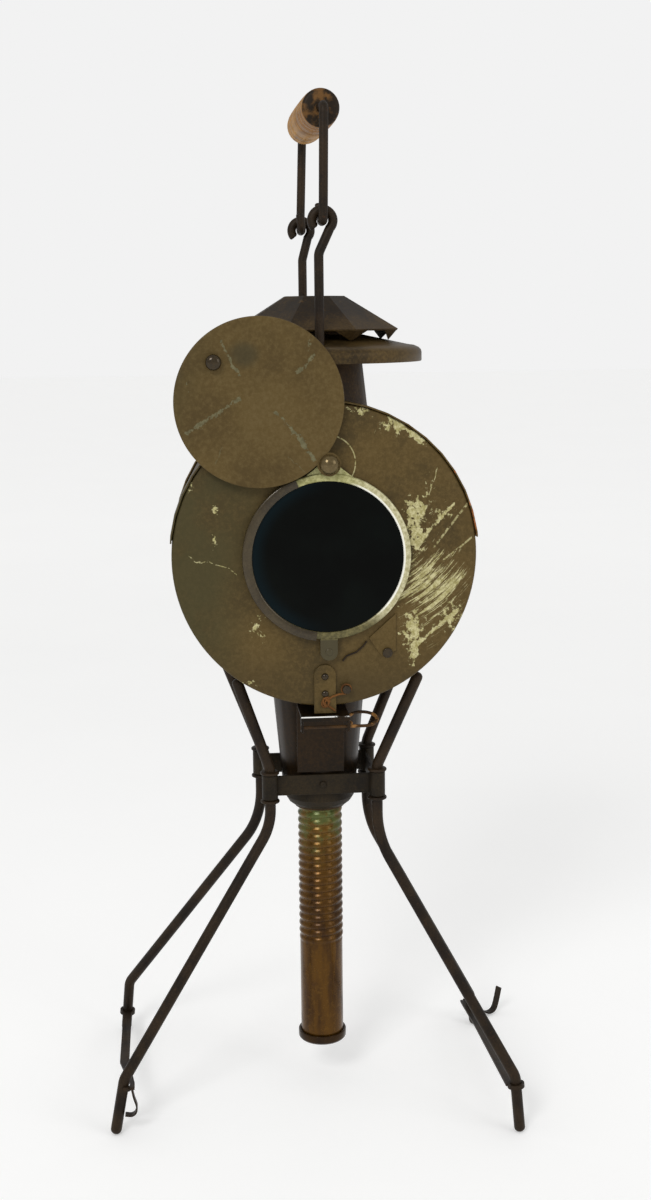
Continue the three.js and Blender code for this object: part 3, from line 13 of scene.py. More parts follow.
import bmesh
import bpy
from mathutils import Matrix, Vector


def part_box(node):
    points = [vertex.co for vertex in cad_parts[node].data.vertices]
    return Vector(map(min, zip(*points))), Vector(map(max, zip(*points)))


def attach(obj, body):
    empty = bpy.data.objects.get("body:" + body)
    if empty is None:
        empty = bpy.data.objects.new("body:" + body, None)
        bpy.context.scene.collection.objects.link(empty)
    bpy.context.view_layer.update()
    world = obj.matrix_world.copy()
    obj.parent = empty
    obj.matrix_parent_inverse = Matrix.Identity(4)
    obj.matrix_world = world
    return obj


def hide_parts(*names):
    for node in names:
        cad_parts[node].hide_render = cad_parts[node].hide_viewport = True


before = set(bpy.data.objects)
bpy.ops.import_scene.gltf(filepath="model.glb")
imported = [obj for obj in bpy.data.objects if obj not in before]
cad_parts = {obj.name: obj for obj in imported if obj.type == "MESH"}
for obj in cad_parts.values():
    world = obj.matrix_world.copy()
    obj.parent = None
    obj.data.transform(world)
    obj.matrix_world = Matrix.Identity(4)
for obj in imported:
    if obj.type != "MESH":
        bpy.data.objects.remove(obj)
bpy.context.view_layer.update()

LOG = logging.getLogger("signal_lamp")
MM = 0.001
TUBE_LOW, TUBE_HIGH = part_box("candle_tube")
AXIS = Vector(((TUBE_LOW.x + TUBE_HIGH.x) / 2, (TUBE_LOW.y + TUBE_HIGH.y) / 2, 0.0))
TO_FRAME = Matrix.Translation(AXIS) @ Matrix.Scale(MM, 4)

Colour = tuple[float, float, float, float]
Flat = tuple[float, float]

# Places and sizes that several sub-assemblies share; GAP is the clear space between two pieces

GAP = 0.35
DRUM_Z = 390.7
LENS: Flat = (1.4, 391.0)
PIVOT: Flat = (2.2, 451.0)
COVER_FACE = -73.9
BAIL_X: Flat = (0.9, -3.4)


def tone(code: str) -> Colour:
    """Linear colour of a written six-figure sRGB code.

    Args:
        code: The six hexadecimal figures.

    Returns:
        Red, green, blue and an alpha of one.
    """
    parts = [int(code[i : i + 2], 16) / 255 for i in (0, 2, 4)]
    linear = [c / 12.92 if c <= 0.04045 else ((c + 0.055) / 1.055) ** 2.4 for c in parts]
    return (linear[0], linear[1], linear[2], 1.0)


class Axis(Enum):
    """The line that a turned piece is turned about."""

    Y = "Y"
    Z = "Z"


# Shader writing


class Value:
    """One output of a shader node, so that shader maths reads as plain sums."""

    def __init__(self, shader: "Shader", socket: bpy.types.NodeSocket) -> None:
        """Keep the shader that the socket belongs to."""
        self.shader = shader
        self.socket = socket

    def maths(self, operation: str, other: Any = None, flip: bool = False) -> "Value":
        """Result of one Math node on this value.

        Args:
            operation: The Math node's operation.
            other: The second value, where the operation takes one.
            flip: Whether the other value comes first.

        Returns:
            The node's output.
        """
        pair = [self] if other is None else ([other, self] if flip else [self, other])
        return self.shader.node("ShaderNodeMath", {"operation": operation}, dict(enumerate(pair)))

    def __add__(self, other: Any) -> "Value":
        """Sum."""
        return self.maths("ADD", other)

    def __sub__(self, other: Any) -> "Value":
        """Difference."""
        return self.maths("SUBTRACT", other)

    def __rsub__(self, other: Any) -> "Value":
        """Difference, with the number first."""
        return self.maths("SUBTRACT", other, True)

    def __mul__(self, other: Any) -> "Value":
        """Product."""
        return self.maths("MULTIPLY", other)

    def __truediv__(self, other: Any) -> "Value":
        """Quotient."""
        return self.maths("DIVIDE", other)

    def __neg__(self) -> "Value":
        """The value with its sign changed."""
        return self.maths("MULTIPLY", -1.0)

    def __abs__(self) -> "Value":
        """The value without its sign."""
        return self.maths("ABSOLUTE")

    def with_leg(self, other: "Value") -> "Value":
        """Distance whose two square parts are this value and the other."""
        return (self * self + other * other).maths("SQRT")


class Shader:
    """A material's node tree and the few patterns that the lamp's finishes share."""

    def __init__(self, name: str) -> None:
        """Start an empty material of this name."""
        self.material = bpy.data.materials.new(name)
        self.material.use_nodes = True
        self.tree = self.material.node_tree
        self.tree.nodes.clear()
        self.point = self.node("ShaderNodeTexCoord", output="Object")

    def node(
        self,
        kind: str,
        settings: Mapping[str, Any] | None = None,
        inputs: Mapping[Any, Any] | None = None,
        output: Any = 0,
    ) -> Value:
        """Add one node.

        Args:
            kind: The node's type.
            settings: Its own settings.
            inputs: Values or links by socket name or number.
            output: The name or number of the socket to go on with.

        Returns:
            That output.
        """
        made = self.tree.nodes.new(kind)
        for key, value in (settings or {}).items():
            setattr(made, key, value)
        for key, value in (inputs or {}).items():
            if isinstance(value, Value):
                self.tree.links.new(value.socket, made.inputs[key])
            else:
                made.inputs[key].default_value = value
        return Value(self, made.outputs[output])

    def parts(self) -> list[Value]:
        """The X, Y and Z of the point, in metres."""
        first = self.node("ShaderNodeSeparateXYZ", None, {0: self.point})
        return [Value(self, output) for output in first.socket.node.outputs]

    def place(self) -> tuple[Value, Value, Value]:
        """The point across, in depth and up, in millimetres about the neck's axis."""
        px, py, pz = self.parts()
        return (px - AXIS.x) / MM, (py - AXIS.y) / MM, pz / MM

    def vector(self, x: Any, y: Any, z: Any) -> Value:
        """A vector of three values."""
        return self.node("ShaderNodeCombineXYZ", None, {0: x, 1: y, 2: z})

    def scaled(self, x: float, y: float, z: float) -> Value:
        """The point scaled along each axis."""
        return self.node("ShaderNodeVectorMath", {"operation": "MULTIPLY"}, {0: self.point, 1: (x, y, z)})

    def noise(self, scale: float, detail: float = 6.0, rough: float = 0.6, at: Value | None = None) -> Value:
        """A noise value around one half.

        Args:
            scale: Cycles in a metre, or in one unit of the given coordinates.
            detail: How many finer layers it has.
            rough: How strong the finer layers are.
            at: Coordinates other than the object's own.

        Returns:
            The noise.
        """
        inputs = {"Vector": at or self.point, "Scale": scale, "Detail": detail, "Roughness": rough}
        return self.node("ShaderNodeTexNoise", None, inputs)

    def step(self, value: Value, low: float, high: float) -> Value:
        """A soft step from zero at low to one at high."""
        settings = {"interpolation_type": "SMOOTHSTEP", "clamp": True}
        return self.node("ShaderNodeMapRange", settings, {"Value": value, "From Min": low, "From Max": high})

    def mix(self, share: Any, first: Any, second: Any) -> Value:
        """A colour between two colours, each a value or a written code."""
        pair = [tone(colour) if isinstance(colour, str) else colour for colour in (first, second)]
        return self.node("ShaderNodeMix", {"data_type": "RGBA"}, {0: share, 6: pair[0], 7: pair[1]}, 2)

    def between(self, share: Value, low: float, high: float) -> Value:
        """A number between two numbers."""
        return share * (high - low) + low

    def bump(self, height: Value, depth: float, under: Value | None = None) -> Value:
        """A bumped normal.

        Args:
            height: The relief, from zero to one.
            depth: Its depth in millimetres.
            under: A normal that it lies on.

        Returns:
            The normal.
        """
        inputs = {"Strength": 1.0, "Distance": depth * MM, "Height": height}
        if under is not None:
            inputs["Normal"] = under
        return self.node("ShaderNodeBump", None, inputs)

    def done(self, **sockets: Any) -> bpy.types.Material:
        """Close the material with one surface shader.

        Args:
            **sockets: The shader's sockets, with spaces written as underscores.

        Returns:
            The finished material.
        """
        named = {key.replace("_", " "): value for key, value in sockets.items()}
        surface = self.node("ShaderNodeBsdfPrincipled", None, named)
        made = self.tree.nodes.new("ShaderNodeOutputMaterial")
        self.tree.links.new(surface.socket, made.inputs["Surface"])
        return self.material


# Finishes


@dataclass(frozen=True)
class Patina:
    """Aged sheet or wire: three mottled tones, small spots of a fourth, and a fine relief."""

    name: str
    tones: tuple[str, str, str]
    spot: str
    spot_share: float = 0.25
    scale: float = 22.0
    metallic: float = 0.25
    roughness: Flat = (0.42, 0.68)
    depth: float = 0.12
    gloss: float = 0.2

    def base(self, shader: Shader) -> tuple[Value, Value, Value]:
        """The mottled colour and the two noises that it comes from.

        Args:
            shader: The material being written.

        Returns:
            The colour, the broad noise and the fine noise.
        """
        dark, middle, light = self.tones
        broad = shader.noise(self.scale, 5, 0.55)
        fine = shader.noise(self.scale * 26, 9, 0.74)
        colour = shader.mix(shader.step(broad * 0.8 + fine * 0.2, 0.36, 0.58), dark, middle)
        colour = shader.mix(shader.step(broad * 0.35 + fine * 0.65, 0.44, 0.66) * 0.7, colour, light)
        speck = shader.step(shader.noise(self.scale * 5, 8, 0.72), 0.66 - 0.25 * self.spot_share, 0.74)
        return shader.mix(speck * 0.85, colour, self.spot), broad, fine

    def rough(self, shader: Shader, broad: Value, fine: Value) -> Value:
        """The roughness that the two noises give."""
        return shader.between(broad * 0.4 + fine * 0.6, *self.roughness)

    def material(self) -> bpy.types.Material:
        """The finished material, made once."""
        ready = bpy.data.materials.get(self.name)
        if ready:
            return ready
        shader = Shader(self.name)
        colour, broad, fine = self.base(shader)
        return shader.done(
            Base_Color=colour,
            Roughness=self.rough(shader, broad, fine),
            Metallic=self.metallic,
            Normal=shader.bump(fine, self.depth, shader.bump(broad, self.depth * 6)),
            Specular_IOR_Level=self.gloss,
        )


@dataclass(frozen=True)
class Blot:
    """A soft patch on the lid or the cover, by place and reach in millimetres."""

    x: float
    z: float
    across: float
    upright: float
    weight: float = 1.0


@dataclass(frozen=True)
class Scratch:
    """A scratch or a smear between two places, in millimetres."""

    start: Flat
    end: Flat
    width: float = 0.55

    def distance(self, x: Value, z: Value) -> Value:
        """Distance from the scratch, in shares of its width.

        Args:
            x: Place across, in millimetres.
            z: Height, in millimetres.

        Returns:
            The distance.
        """
        (ax, az), (bx, bz) = self.start, self.end
        run_x, run_z = bx - ax, bz - az
        length = run_x * run_x + run_z * run_z
        share = (x - ax) * (run_x / length) + (z - az) * (run_z / length)
        share = share.maths("MAXIMUM", 0.0).maths("MINIMUM", 1.0)
        return (x - ax - share * run_x).with_leg(z - az - share * run_z) / self.width


def blot_field(x: Value, z: Value, blots: Sequence[Blot]) -> Value:
    """Sum of soft patches.

    Args:
        x: Place across, in millimetres.
        z: Height, in millimetres.
        blots: The patches.

    Returns:
        The sum, near one at the middle of a patch.
    """
    total = x * 0.0
    for blot in blots:
        across, upright = (x - blot.x) / blot.across, (z - blot.z) / blot.upright
        total = total + (-(across * across + upright * upright)).maths("EXPONENT") * blot.weight
    return total


@dataclass(frozen=True)
class ArcWear:
    """Fine arcs that a swinging piece has rubbed round its pivot, and one ring close to it."""

    centre: Flat
    zone: Blot
    ring: float

    def share(self, shader: Shader, x: Value, z: Value, broken: Value) -> Value:
        """Where the arcs are.

        Args:
            shader: The material being written.
            x: Place across, in millimetres.
            z: Height, in millimetres.
            broken: How the ring is broken up.

        Returns:
            One on an arc, zero off it.
        """
        rx, rz = x - self.centre[0], z - self.centre[1]
        reach, angle = rx.with_leg(rz), rz.maths("ARCTAN2", rx)
        zone = blot_field(x, z, [self.zone])
        lanes = shader.noise(1.0, 3, 0.6, shader.vector(reach * 0.42, angle * 3.2, 0.0))
        fines = shader.noise(1.0, 4, 0.7, shader.vector(reach * 1.5, angle * 9.0, 4.0))
        arcs = shader.step(lanes * 0.62 + fines * 0.38 + zone * 0.20, 0.66, 0.72)
        rub = shader.step(abs(reach - self.ring), 0.55, 0.2) * broken * shader.step(rx, -2.0, 4.0)
        return (arcs * shader.step(zone, 0.10, 0.45)).maths("MAXIMUM", rub * 0.8)


@dataclass(frozen=True)
class WornPaintAndHighlight:
    """Olive paint on lid, cover or hood, worn to pale metal in patches, arcs and scratches; on the cover,
    two patches along the top rim are a painted highlight in the same pale colours.
    """

    name: str
    patina: Patina
    bare_and_highlight: tuple[str, str]
    blots: tuple[Blot, ...] = ()
    scratches: tuple[Scratch, ...] = ()
    scratch_weight: float = 0.75
    smears: tuple[Scratch, ...] = ()
    smear_weight: float = 0.8
    stains: tuple[Blot, ...] = ()
    arcs: ArcWear | None = None
    dusk: Flat = (-30.0, -75.0)
    dusk_level: float = 390.0
    foot: Flat = (338.0, 296.0)

    def worn(self, shader: Shader, x: Value, z: Value) -> Value:
        """Where the paint is gone, and where a highlight is painted in the pale metal colours.

        Args:
            shader: The material being written.
            x: Place across, in millimetres.
            z: Height, in millimetres.

        Returns:
            One on pale metal and on painted highlight, zero on paint.
        """
        patch = blot_field(x, z, self.blots)
        wobble = shader.noise(60, 4, 0.6) * 12 - 6.0
        for smear in self.smears:
            off = smear.distance(x + wobble, z + wobble * 0.8)
            patch = patch + (-(off * off)).maths("EXPONENT") * self.smear_weight
        bare_and_highlight = shader.step(shader.noise(260, 9, 0.68) + patch * 0.26, 0.70, 0.755)
        broken = shader.step(shader.noise(420, 4, 0.6), 0.40, 0.52)
        for scratch in self.scratches:
            mark = shader.step(scratch.distance(x + wobble, z + wobble), 1.0, 0.35) * broken
            bare_and_highlight = bare_and_highlight.maths("MAXIMUM", mark * self.scratch_weight)
        if self.arcs:
            bare_and_highlight = bare_and_highlight.maths("MAXIMUM", self.arcs.share(shader, x, z, broken))
        return bare_and_highlight

    def shade(self, shader: Shader, colour: Value, broad: Value, x: Value, z: Value) -> Value:
        """Darken the paint at the left, at the foot and in its stains.

        Args:
            shader: The material being written.
            colour: The paint's colour.
            broad: Its broad noise.
            x: Place across, in millimetres.
            z: Height, in millimetres.

        Returns:
            The darkened colour.
        """
        dusk = shader.step(x - (z - self.dusk_level) * 0.2, *self.dusk) * shader.step(broad, 0.35, 0.55)
        colour = shader.mix(dusk * 0.7, colour, "3a3820")
        low = shader.step(z, *self.foot) * shader.step(broad, 0.35, 0.6)
        colour = shader.mix(low * 0.55, colour, "342a15")
        stain = shader.step(blot_field(x, z, self.stains) + (broad - 0.5) * 1.5, 0.3, 0.9)
        return shader.mix(stain * 0.6, colour, "33301f")

    def material(self) -> bpy.types.Material:
        """The finished material."""
        shader = Shader(self.name)
        colour, broad, fine = self.patina.base(shader)
        x, _, z = shader.place()
        # The pale share also holds the cover's painted highlight along its top rim
        bare_and_highlight = self.worn(shader, x, z)
        metal = shader.mix(shader.step(fine, 0.38, 0.62), *self.bare_and_highlight)
        relief = shader.bump(fine, self.patina.depth, shader.bump(broad, self.patina.depth * 8))
        return shader.done(
            Base_Color=shader.mix(bare_and_highlight, self.shade(shader, colour, broad, x, z), metal),
            Roughness=self.patina.rough(shader, broad, fine) - bare_and_highlight * 0.12,
            Metallic=bare_and_highlight * 0.2 + self.patina.metallic,
            Normal=shader.bump(1.0 - bare_and_highlight, 0.08, relief),
            Specular_IOR_Level=self.patina.gloss,
        )


@dataclass(frozen=True)
class WearAndHighlightPiece:
    """A patina that gives way to a second colour past a place, broken up as by wear: rubbed rust on the lock
    pin, and a painted highlight along the catch's ledge.
    """

    name: str
    patina: Patina
    # The second colour: rubbed rust on the pin, and a painted highlight on the ledge
    worn: str
    across: Flat | None = None
    forward: Flat | None = None
    upright: Flat | None = None

    def material(self) -> bpy.types.Material:
        """The finished material."""
        shader = Shader(self.name)
        colour, broad, fine = self.patina.base(shader)
        share = shader.step(shader.noise(95, 4, 0.6), 0.44, 0.50)
        for place, limits in zip(shader.place(), (self.across, self.forward, self.upright)):
            if limits:
                share = share * shader.step(place, *limits)
        return shader.done(
            Base_Color=shader.mix(share, colour, self.worn),
            Roughness=self.patina.rough(shader, broad, fine),
            Metallic=self.patina.metallic,
            Normal=shader.bump(fine, self.patina.depth),
            Specular_IOR_Level=self.patina.gloss,
        )


@dataclass(frozen=True)
class RingWearAndHighlight:
    """The filter's frame: greenish at the top, rubbed pale at the right, olive below, with a painted white
    highlight along its inner edge at the right.
    """

    name: str
    edge: float

    def material(self) -> bpy.types.Material:
        """The finished material."""
        shader = Shader(self.name)
        x, _, z = shader.place()
        x, z = x - LENS[0], z - LENS[1]
        broad, fine = shader.noise(60, 5, 0.6), shader.noise(420, 6, 0.68)
        olive = shader.mix(shader.step(fine, 0.4, 0.6), "4f4929", "6b633c")
        green = shader.mix(shader.step(fine, 0.35, 0.65), "8d8a55", "b5b27c")
        pale = shader.mix(shader.step(fine, 0.35, 0.65), "a39c72", "cfc9a4")
        rise = shader.step(z + (broad - 0.5) * 30, -30.0, 16.0)
        rub = shader.step(x + (broad - 0.5) * 30, 12.0, 34.0) * shader.step(z, -46.0, -34.0)
        colour = shader.mix(rub, shader.mix(rise, olive, green), pale)
        below = shader.step(z, -53.0, -54.5) * shader.step(abs(x), 9.0, 8.0)
        colour = shader.mix(below, colour, shader.mix(broad, "38321d", "4a4228"))
        pit = shader.step(shader.noise(150, 8, 0.7), 0.60, 0.70)
        colour = shader.mix(pit * 0.55, colour, "4d4629")
        # Painted highlight: a thin near-white crescent round the sight's edge on the right side
        rim = shader.step(x.with_leg(z), self.edge + 1.6, self.edge + 0.9)
        colour = shader.mix(rim * shader.step(x + z * 0.2, 22.0, 34.0), colour, "f4f2e6")
        return shader.done(
            Base_Color=colour,
            Roughness=shader.between(fine, 0.26, 0.46),
            Metallic=0.25,
            Normal=shader.bump(fine, 0.03),
            Specular_IOR_Level=0.4,
        )


@dataclass(frozen=True)
class Brass:
    """Tarnished brass with brown stains, and green verdigris where the tube meets the neck."""

    name: str
    green_from: float
    grime: float = 0.0
    green_rise: float = 64.0
    inside: Flat = (300.0, 240.0)

    def material(self) -> bpy.types.Material:
        """The finished material."""
        shader = Shader(self.name)
        height = shader.place()[2]
        streak = shader.noise(1.0, 5, 0.6, shader.scaled(120.0, 120.0, 22.0))
        fine = shader.noise(320, 6, 0.7)
        colour = shader.mix(shader.step(streak, 0.35, 0.62), "3a2305", "563808")
        colour = shader.mix(shader.step(fine, 0.5, 0.72) * 0.35, colour, "70501a")
        stain = shader.step(shader.noise(45, 6, 0.65), 0.54, 0.68)
        colour = shader.mix(stain * 0.6, colour, "341f0e")
        rise = shader.step(height, self.green_from, self.green_from + self.green_rise)
        rise = rise * shader.step(height, *self.inside)
        colour = shader.mix(rise * 0.5, colour, "7a5a1e")
        green = shader.step(shader.noise(110, 6, 0.7) + rise * 0.26, 0.60, 0.80) * rise
        colour = shader.mix(green * 0.6, colour, "3f6638")
        return shader.done(
            Base_Color=shader.mix(self.grime, colour, "150e07"),
            Roughness=shader.between(fine, 0.16, 0.36) + stain * 0.15,
            Metallic=0.6 - green * 0.3,
            Normal=shader.bump(fine, 0.03, shader.bump(streak, 0.12)),
            Specular_IOR_Level=0.2,
            Coat_Weight=0.12,
            Coat_Roughness=0.1,
        )


@dataclass(frozen=True)
class TurnedWood:
    """Pale turned wood, stained dark at the handled ends and along its turned lines."""

    name: str
    middle: Vector
    heading: Vector
    half: float

    def along(self, shader: Shader) -> Value:
        """Place along the grip from its middle, in millimetres."""
        inputs = {0: shader.point, 1: tuple(self.middle)}
        off = shader.node("ShaderNodeVectorMath", {"operation": "SUBTRACT"}, inputs)
        dot = {0: off, 1: tuple(self.heading / MM)}
        return shader.node("ShaderNodeVectorMath", {"operation": "DOT_PRODUCT"}, dot, 1)

    def material(self) -> bpy.types.Material:
        """The finished material."""
        shader = Shader(self.name)
        about = self.along(shader)
        height = shader.place()[2] - self.middle.z / MM
        grain = shader.noise(1.0, 5, 0.5, shader.scaled(260.0, 26.0, 260.0))
        colour = shader.mix(shader.step(grain, 0.30, 0.70), "8f6732", "ad8042")
        under = shader.step(height, 5.0, -11.0) * shader.step(about, 14.0, -34.0)
        colour = shader.mix(under * 0.6, colour, "7d4f20")
        wander = shader.noise(90, 3, 0.5) * 5.0
        lines = shader.step(((about + wander) * 1.05).maths("SINE"), 0.72, 0.98)
        lines = lines * shader.step(about, -2.0, -14.0) * shader.step(shader.noise(55), 0.36, 0.48)
        colour = shader.mix(lines * 0.9, colour, "33220f")
        grime = shader.step(shader.noise(60, 5, 0.6), 0.60, 0.74)
        colour = shader.mix(grime * 0.5, colour, "4a331b")
        amber = shader.step(shader.noise(140, 4, 0.6), 0.46, 0.66)
        end = shader.step(about, -self.half * 0.93, -self.half * 0.985)
        return shader.done(
            Base_Color=shader.mix(end, colour, shader.mix(amber, "21180d", "664723")),
            Roughness=shader.between(grain, 0.42, 0.58),
            Normal=shader.bump(grain, 0.1),
            Specular_IOR_Level=0.15,
        )


@dataclass(frozen=True)
class DeepGlass:
    """The signal filter: a very dark glass with faint smears, and a painted bluish sheen towards its left
    edge.
    """

    name: str

    def material(self) -> bpy.types.Material:
        """The finished material."""
        shader = Shader(self.name)
        colour = shader.mix(shader.step(shader.noise(28, 4, 0.5), 0.35, 0.7), "020302", "050806")
        x, _, z = shader.place()
        x, z = x - LENS[0], z - LENS[1]
        # Painted sheen: a bluish tint laid only on the outer left part of the glass
        edge = shader.step(x.with_leg(z), 38.0, 50.0) * shader.step(x, 5.0, -30.0)
        return shader.done(
            Base_Color=shader.mix(edge * 0.6, colour, "0a1c22"),
            Roughness=shader.between(shader.noise(120), 0.05, 0.16),
            Specular_IOR_Level=0.06,
        )


@dataclass(frozen=True)
class ClearGlass:
    """The thick clear lens in the lid."""

    name: str

    def material(self) -> bpy.types.Material:
        """The finished material."""
        shader = Shader(self.name)
        haze = shader.noise(60, 5, 0.6)
        return shader.done(
            Base_Color=shader.mix(haze, "dfe9e4", "f2f7f4"),
            Roughness=shader.between(haze, 0.02, 0.12),
            Transmission_Weight=0.94,
            IOR=1.5,
        )


@dataclass(frozen=True)
class Tallow:
    """Candle wax, yellowed and faintly streaked."""

    name: str

    def material(self) -> bpy.types.Material:
        """The finished material."""
        shader = Shader(self.name)
        cloud = shader.noise(40, 5, 0.6)
        return shader.done(
            Base_Color=shader.mix(shader.step(cloud, 0.35, 0.65), "cdbf97", "e6dcc0"),
            Roughness=shader.between(cloud, 0.40, 0.60),
            Subsurface_Weight=0.25,
            Normal=shader.bump(cloud, 0.2),
        )


OLIVE = Patina(
    "olive_paint", ("40341a", "544320", "655330"), "332713",
    spot_share=0.2, scale=16.0, metallic=0.1, roughness=(0.38, 0.62), depth=0.06,
)
COVER_OLIVE = Patina(
    "cover_paint", ("46371a", "564522", "645433"), "372b17",
    spot_share=0.2, scale=14.0, metallic=0.1, roughness=(0.38, 0.6), depth=0.05,
)
DARK_TIN = Patina(
    "dark_tin", ("281c0e", "3b2915", "54401f"), "5e3a1c",
    scale=20.0, metallic=0.2, roughness=(0.40, 0.66), depth=0.08,
)
SKIRT_TIN = Patina(
    "skirt_tin", ("2a200f", "423319", "604d2a"), "6b4520",
    spot_share=0.3, metallic=0.2, roughness=(0.34, 0.56), depth=0.07,
)
ROOF_TIN = Patina(
    "roof_tin", ("20170b", "352713", "544224"), "5a4322",
    scale=24.0, metallic=0.15, depth=0.08,
)
NECK_TIN = Patina(
    "neck_tin", ("140d04", "1f1406", "33220c"), "3c240c",
    spot_share=0.2, scale=18.0, roughness=(0.26, 0.44), depth=0.05,
)
GREY_TIN = Patina(
    "grey_tin", ("2b2212", "382e1a", "4a3f28"), "241c10",
    spot_share=0.0, scale=26.0, roughness=(0.16, 0.26), depth=0.02, gloss=0.5,
)
BLACK_WIRE = Patina(
    "black_wire", ("18110a", "251b10", "3b2c1a"), "4a2f18",
    scale=40.0, metallic=0.2, roughness=(0.40, 0.62), depth=0.10,
)
COLLAR_TIN = Patina(
    "collar_tin", ("140f08", "211a0e", "352a18"), "3f2813",
    spot_share=0.2, scale=30.0, metallic=0.2, roughness=(0.42, 0.66), depth=0.10,
)
RUSTY_WIRE = Patina(
    "rusty_wire", ("3d2410", "66401d", "916333"), "2f1c0e",
    spot_share=0.3, scale=80.0, metallic=0.0, roughness=(0.7, 0.95), depth=0.2,
)
PIN_WIRE = Patina(
    "pin_wire", ("1f150b", "36240f", "5a3e1c"), "6b4520",
    spot_share=0.3, scale=60.0, metallic=0.1, roughness=(0.5, 0.75),
)
RIVET_TIN = Patina(
    "rivet_tin", ("57492d", "6a5a39", "7c6d49"), "3e3219",
    spot_share=0.05, scale=30.0, metallic=0.6, roughness=(0.16, 0.24), depth=0.01, gloss=0.5,
)
DARK_RIVET = Patina(
    "dark_rivet", ("1f170c", "2e2413", "45371f"), "1a130b",
    spot_share=0.1, scale=40.0, metallic=0.45, roughness=(0.14, 0.24), depth=0.01, gloss=0.5,
)
STEEL = Patina(
    "spring_steel", ("4c4842", "6a655d", "8d887e"), "4a3626",
    spot_share=0.2, scale=60.0, metallic=0.85, roughness=(0.25, 0.45), depth=0.03,
)
SILVERED = Patina(
    "silvered_bowl", ("8f8d84", "b4b2aa", "cfcec8"), "5d4c38",
    spot_share=0.15, scale=18.0, metallic=0.95, roughness=(0.10, 0.30), depth=0.02,
)

LID_PAINT = WornPaintAndHighlight(
    "lid_paint", OLIVE, ("9a915c", "c8c193"),
    blots=(
        Blot(21, 484, 10, 4, 0.9), Blot(45, 474, 12, 7, 1.0), Blot(62, 464, 6, 6, 0.9),
        Blot(59, 422, 10, 7, 0.9), Blot(58, 404, 8, 16, 1.3), Blot(77, 417, 10, 6, 0.7),
        Blot(56, 343, 9, 16, 1.15), Blot(82, 350, 12, 15, 0.85), Blot(57, 323, 4, 8, 0.9),
        Blot(-70, 422, 3.5, 4, 1.0), Blot(-71, 403, 2.5, 6, 0.9), Blot(-45, 346, 6, 13, 0.85),
        Blot(-50, 310, 5, 4, 0.9), Blot(-85, 438, 4, 8, 0.7), Blot(68, 436, 6, 9, 0.6),
    ),
    scratches=(
        Scratch((-88, 393), (-57, 381)), Scratch((66, 428), (72, 446)), Scratch((70, 395), (93, 424), 0.9),
        Scratch((-35, 352), (-28, 362)), Scratch((78, 388), (96, 402), 0.8),
    ),
    smears=(
        Scratch((40, 479), (60, 467), 1.6), Scratch((58, 330), (84, 352), 1.3),
        Scratch((62, 400), (84, 424), 1.2),
    ),
    arcs=ArcWear(PIVOT, Blot(68, 371, 26, 32, 1.12), 17.7),
)
COVER_PAINT = WornPaintAndHighlight(
    "cover_paint_wear_and_highlight", COVER_OLIVE, ("59533a", "6e694d"),
    blots=(
        Blot(-18, 444, 6, 4, 0.5), Blot(-86, 500, 3, 9, 0.5), Blot(-10, 528, 3, 8, 0.5),
        # The last two blots on the next line paint a highlight along the disc's top rim as pale metal
        Blot(14, 478, 2.5, 12, 0.8), Blot(-42, 547, 10, 2, 1.0), Blot(-62, 541, 8, 3, 0.8),
    ),
    scratches=(Scratch((-70, 452), (-66, 462), 0.5), Scratch((-24, 456), (-12, 445), 0.5)),
    scratch_weight=0.5,
    smears=(
        Scratch((-88, 471), (-52, 494), 1.9), Scratch((-30, 484), (-6, 455), 2.0),
        Scratch((-64, 528), (-54, 506), 1.5), Scratch((-15, 510), (-7, 519), 2.2),
        Scratch((-70, 445), (-60, 436), 1.2),
    ),
    smear_weight=1.15,
    stains=(Blot(-50, 520, 12, 10, 1.0), Blot(-92, 510, 8, 12, 0.7)),
    dusk=(-90.0, -140.0),
)
HOOD_PAINT = WornPaintAndHighlight(
    "hood_paint", OLIVE, ("7d4a28", "a5683a"),
    blots=(Blot(100, 420, 9, 20, 1.4), Blot(88, 448, 8, 12, 0.9), Blot(-98, 430, 4, 8, 0.6)),
)


# Shaping


def angles(start: float, end: float, steps: int) -> list[float]:
    """Even angles in radians between two angles in degrees."""
    return [math.radians(start + (end - start) * i / steps) for i in range(steps + 1)]


def arc(point: Callable[[float], Vector], start: float, end: float, steps: int) -> list[Vector]:
    """Points of a curve, given by a function of the angle, at even angles."""
    return [point(angle) for angle in angles(start, end, steps)]


def flat_arc(centre: Flat, radius: float, start: float, end: float, steps: int) -> list[Flat]:
    """Points round a circle that faces the front, across and up."""
    turns = angles(start, end, steps)
    return [(centre[0] + radius * math.cos(a), centre[1] + radius * math.sin(a)) for a in turns]


def dome(radius: float, height: float, back: float, rings: int = 8) -> list[Flat]:
    """Outline of a domed head that stands towards -Y on the plane back."""
    turns = angles(0, 90, rings)[:-1]
    curve = [(radius * math.cos(a), back - height * math.sin(a)) for a in turns]
    return [(0.0, back), *curve, (0.0, back - height)]


def peg(radius: float, start: float, end: float) -> list[Flat]:
    """Outline of a plain round bar or disc between two places on its axis."""
    return [(0.0, start), (radius, start), (radius, end), (0.0, end)]


def bent(corners: Sequence[Vector], bends: Sequence[float], steps: int) -> list[Vector]:
    """Points along a wire whose corners are rounded.

    Args:
        corners: The places where the straight runs would meet.
        bends: The bend radius at each corner between the ends.
        steps: Points around each bend.

    Returns:
        The points.
    """
    path = [corners[0].copy()]
    for before, corner, after, bend in zip(corners, corners[1:], corners[2:], bends):
        into, out = (corner - before).normalized(), (after - corner).normalized()
        turn = into.angle(out)
        start = corner - into * (bend * math.tan(turn / 2))
        inward = (out - into * out.dot(into)).normalized()
        for j in range(steps + 1):
            part = turn * j / steps
            path.append(start + into * (bend * math.sin(part)) + inward * (bend * (1 - math.cos(part))))
    path.append(corners[-1].copy())
    return path


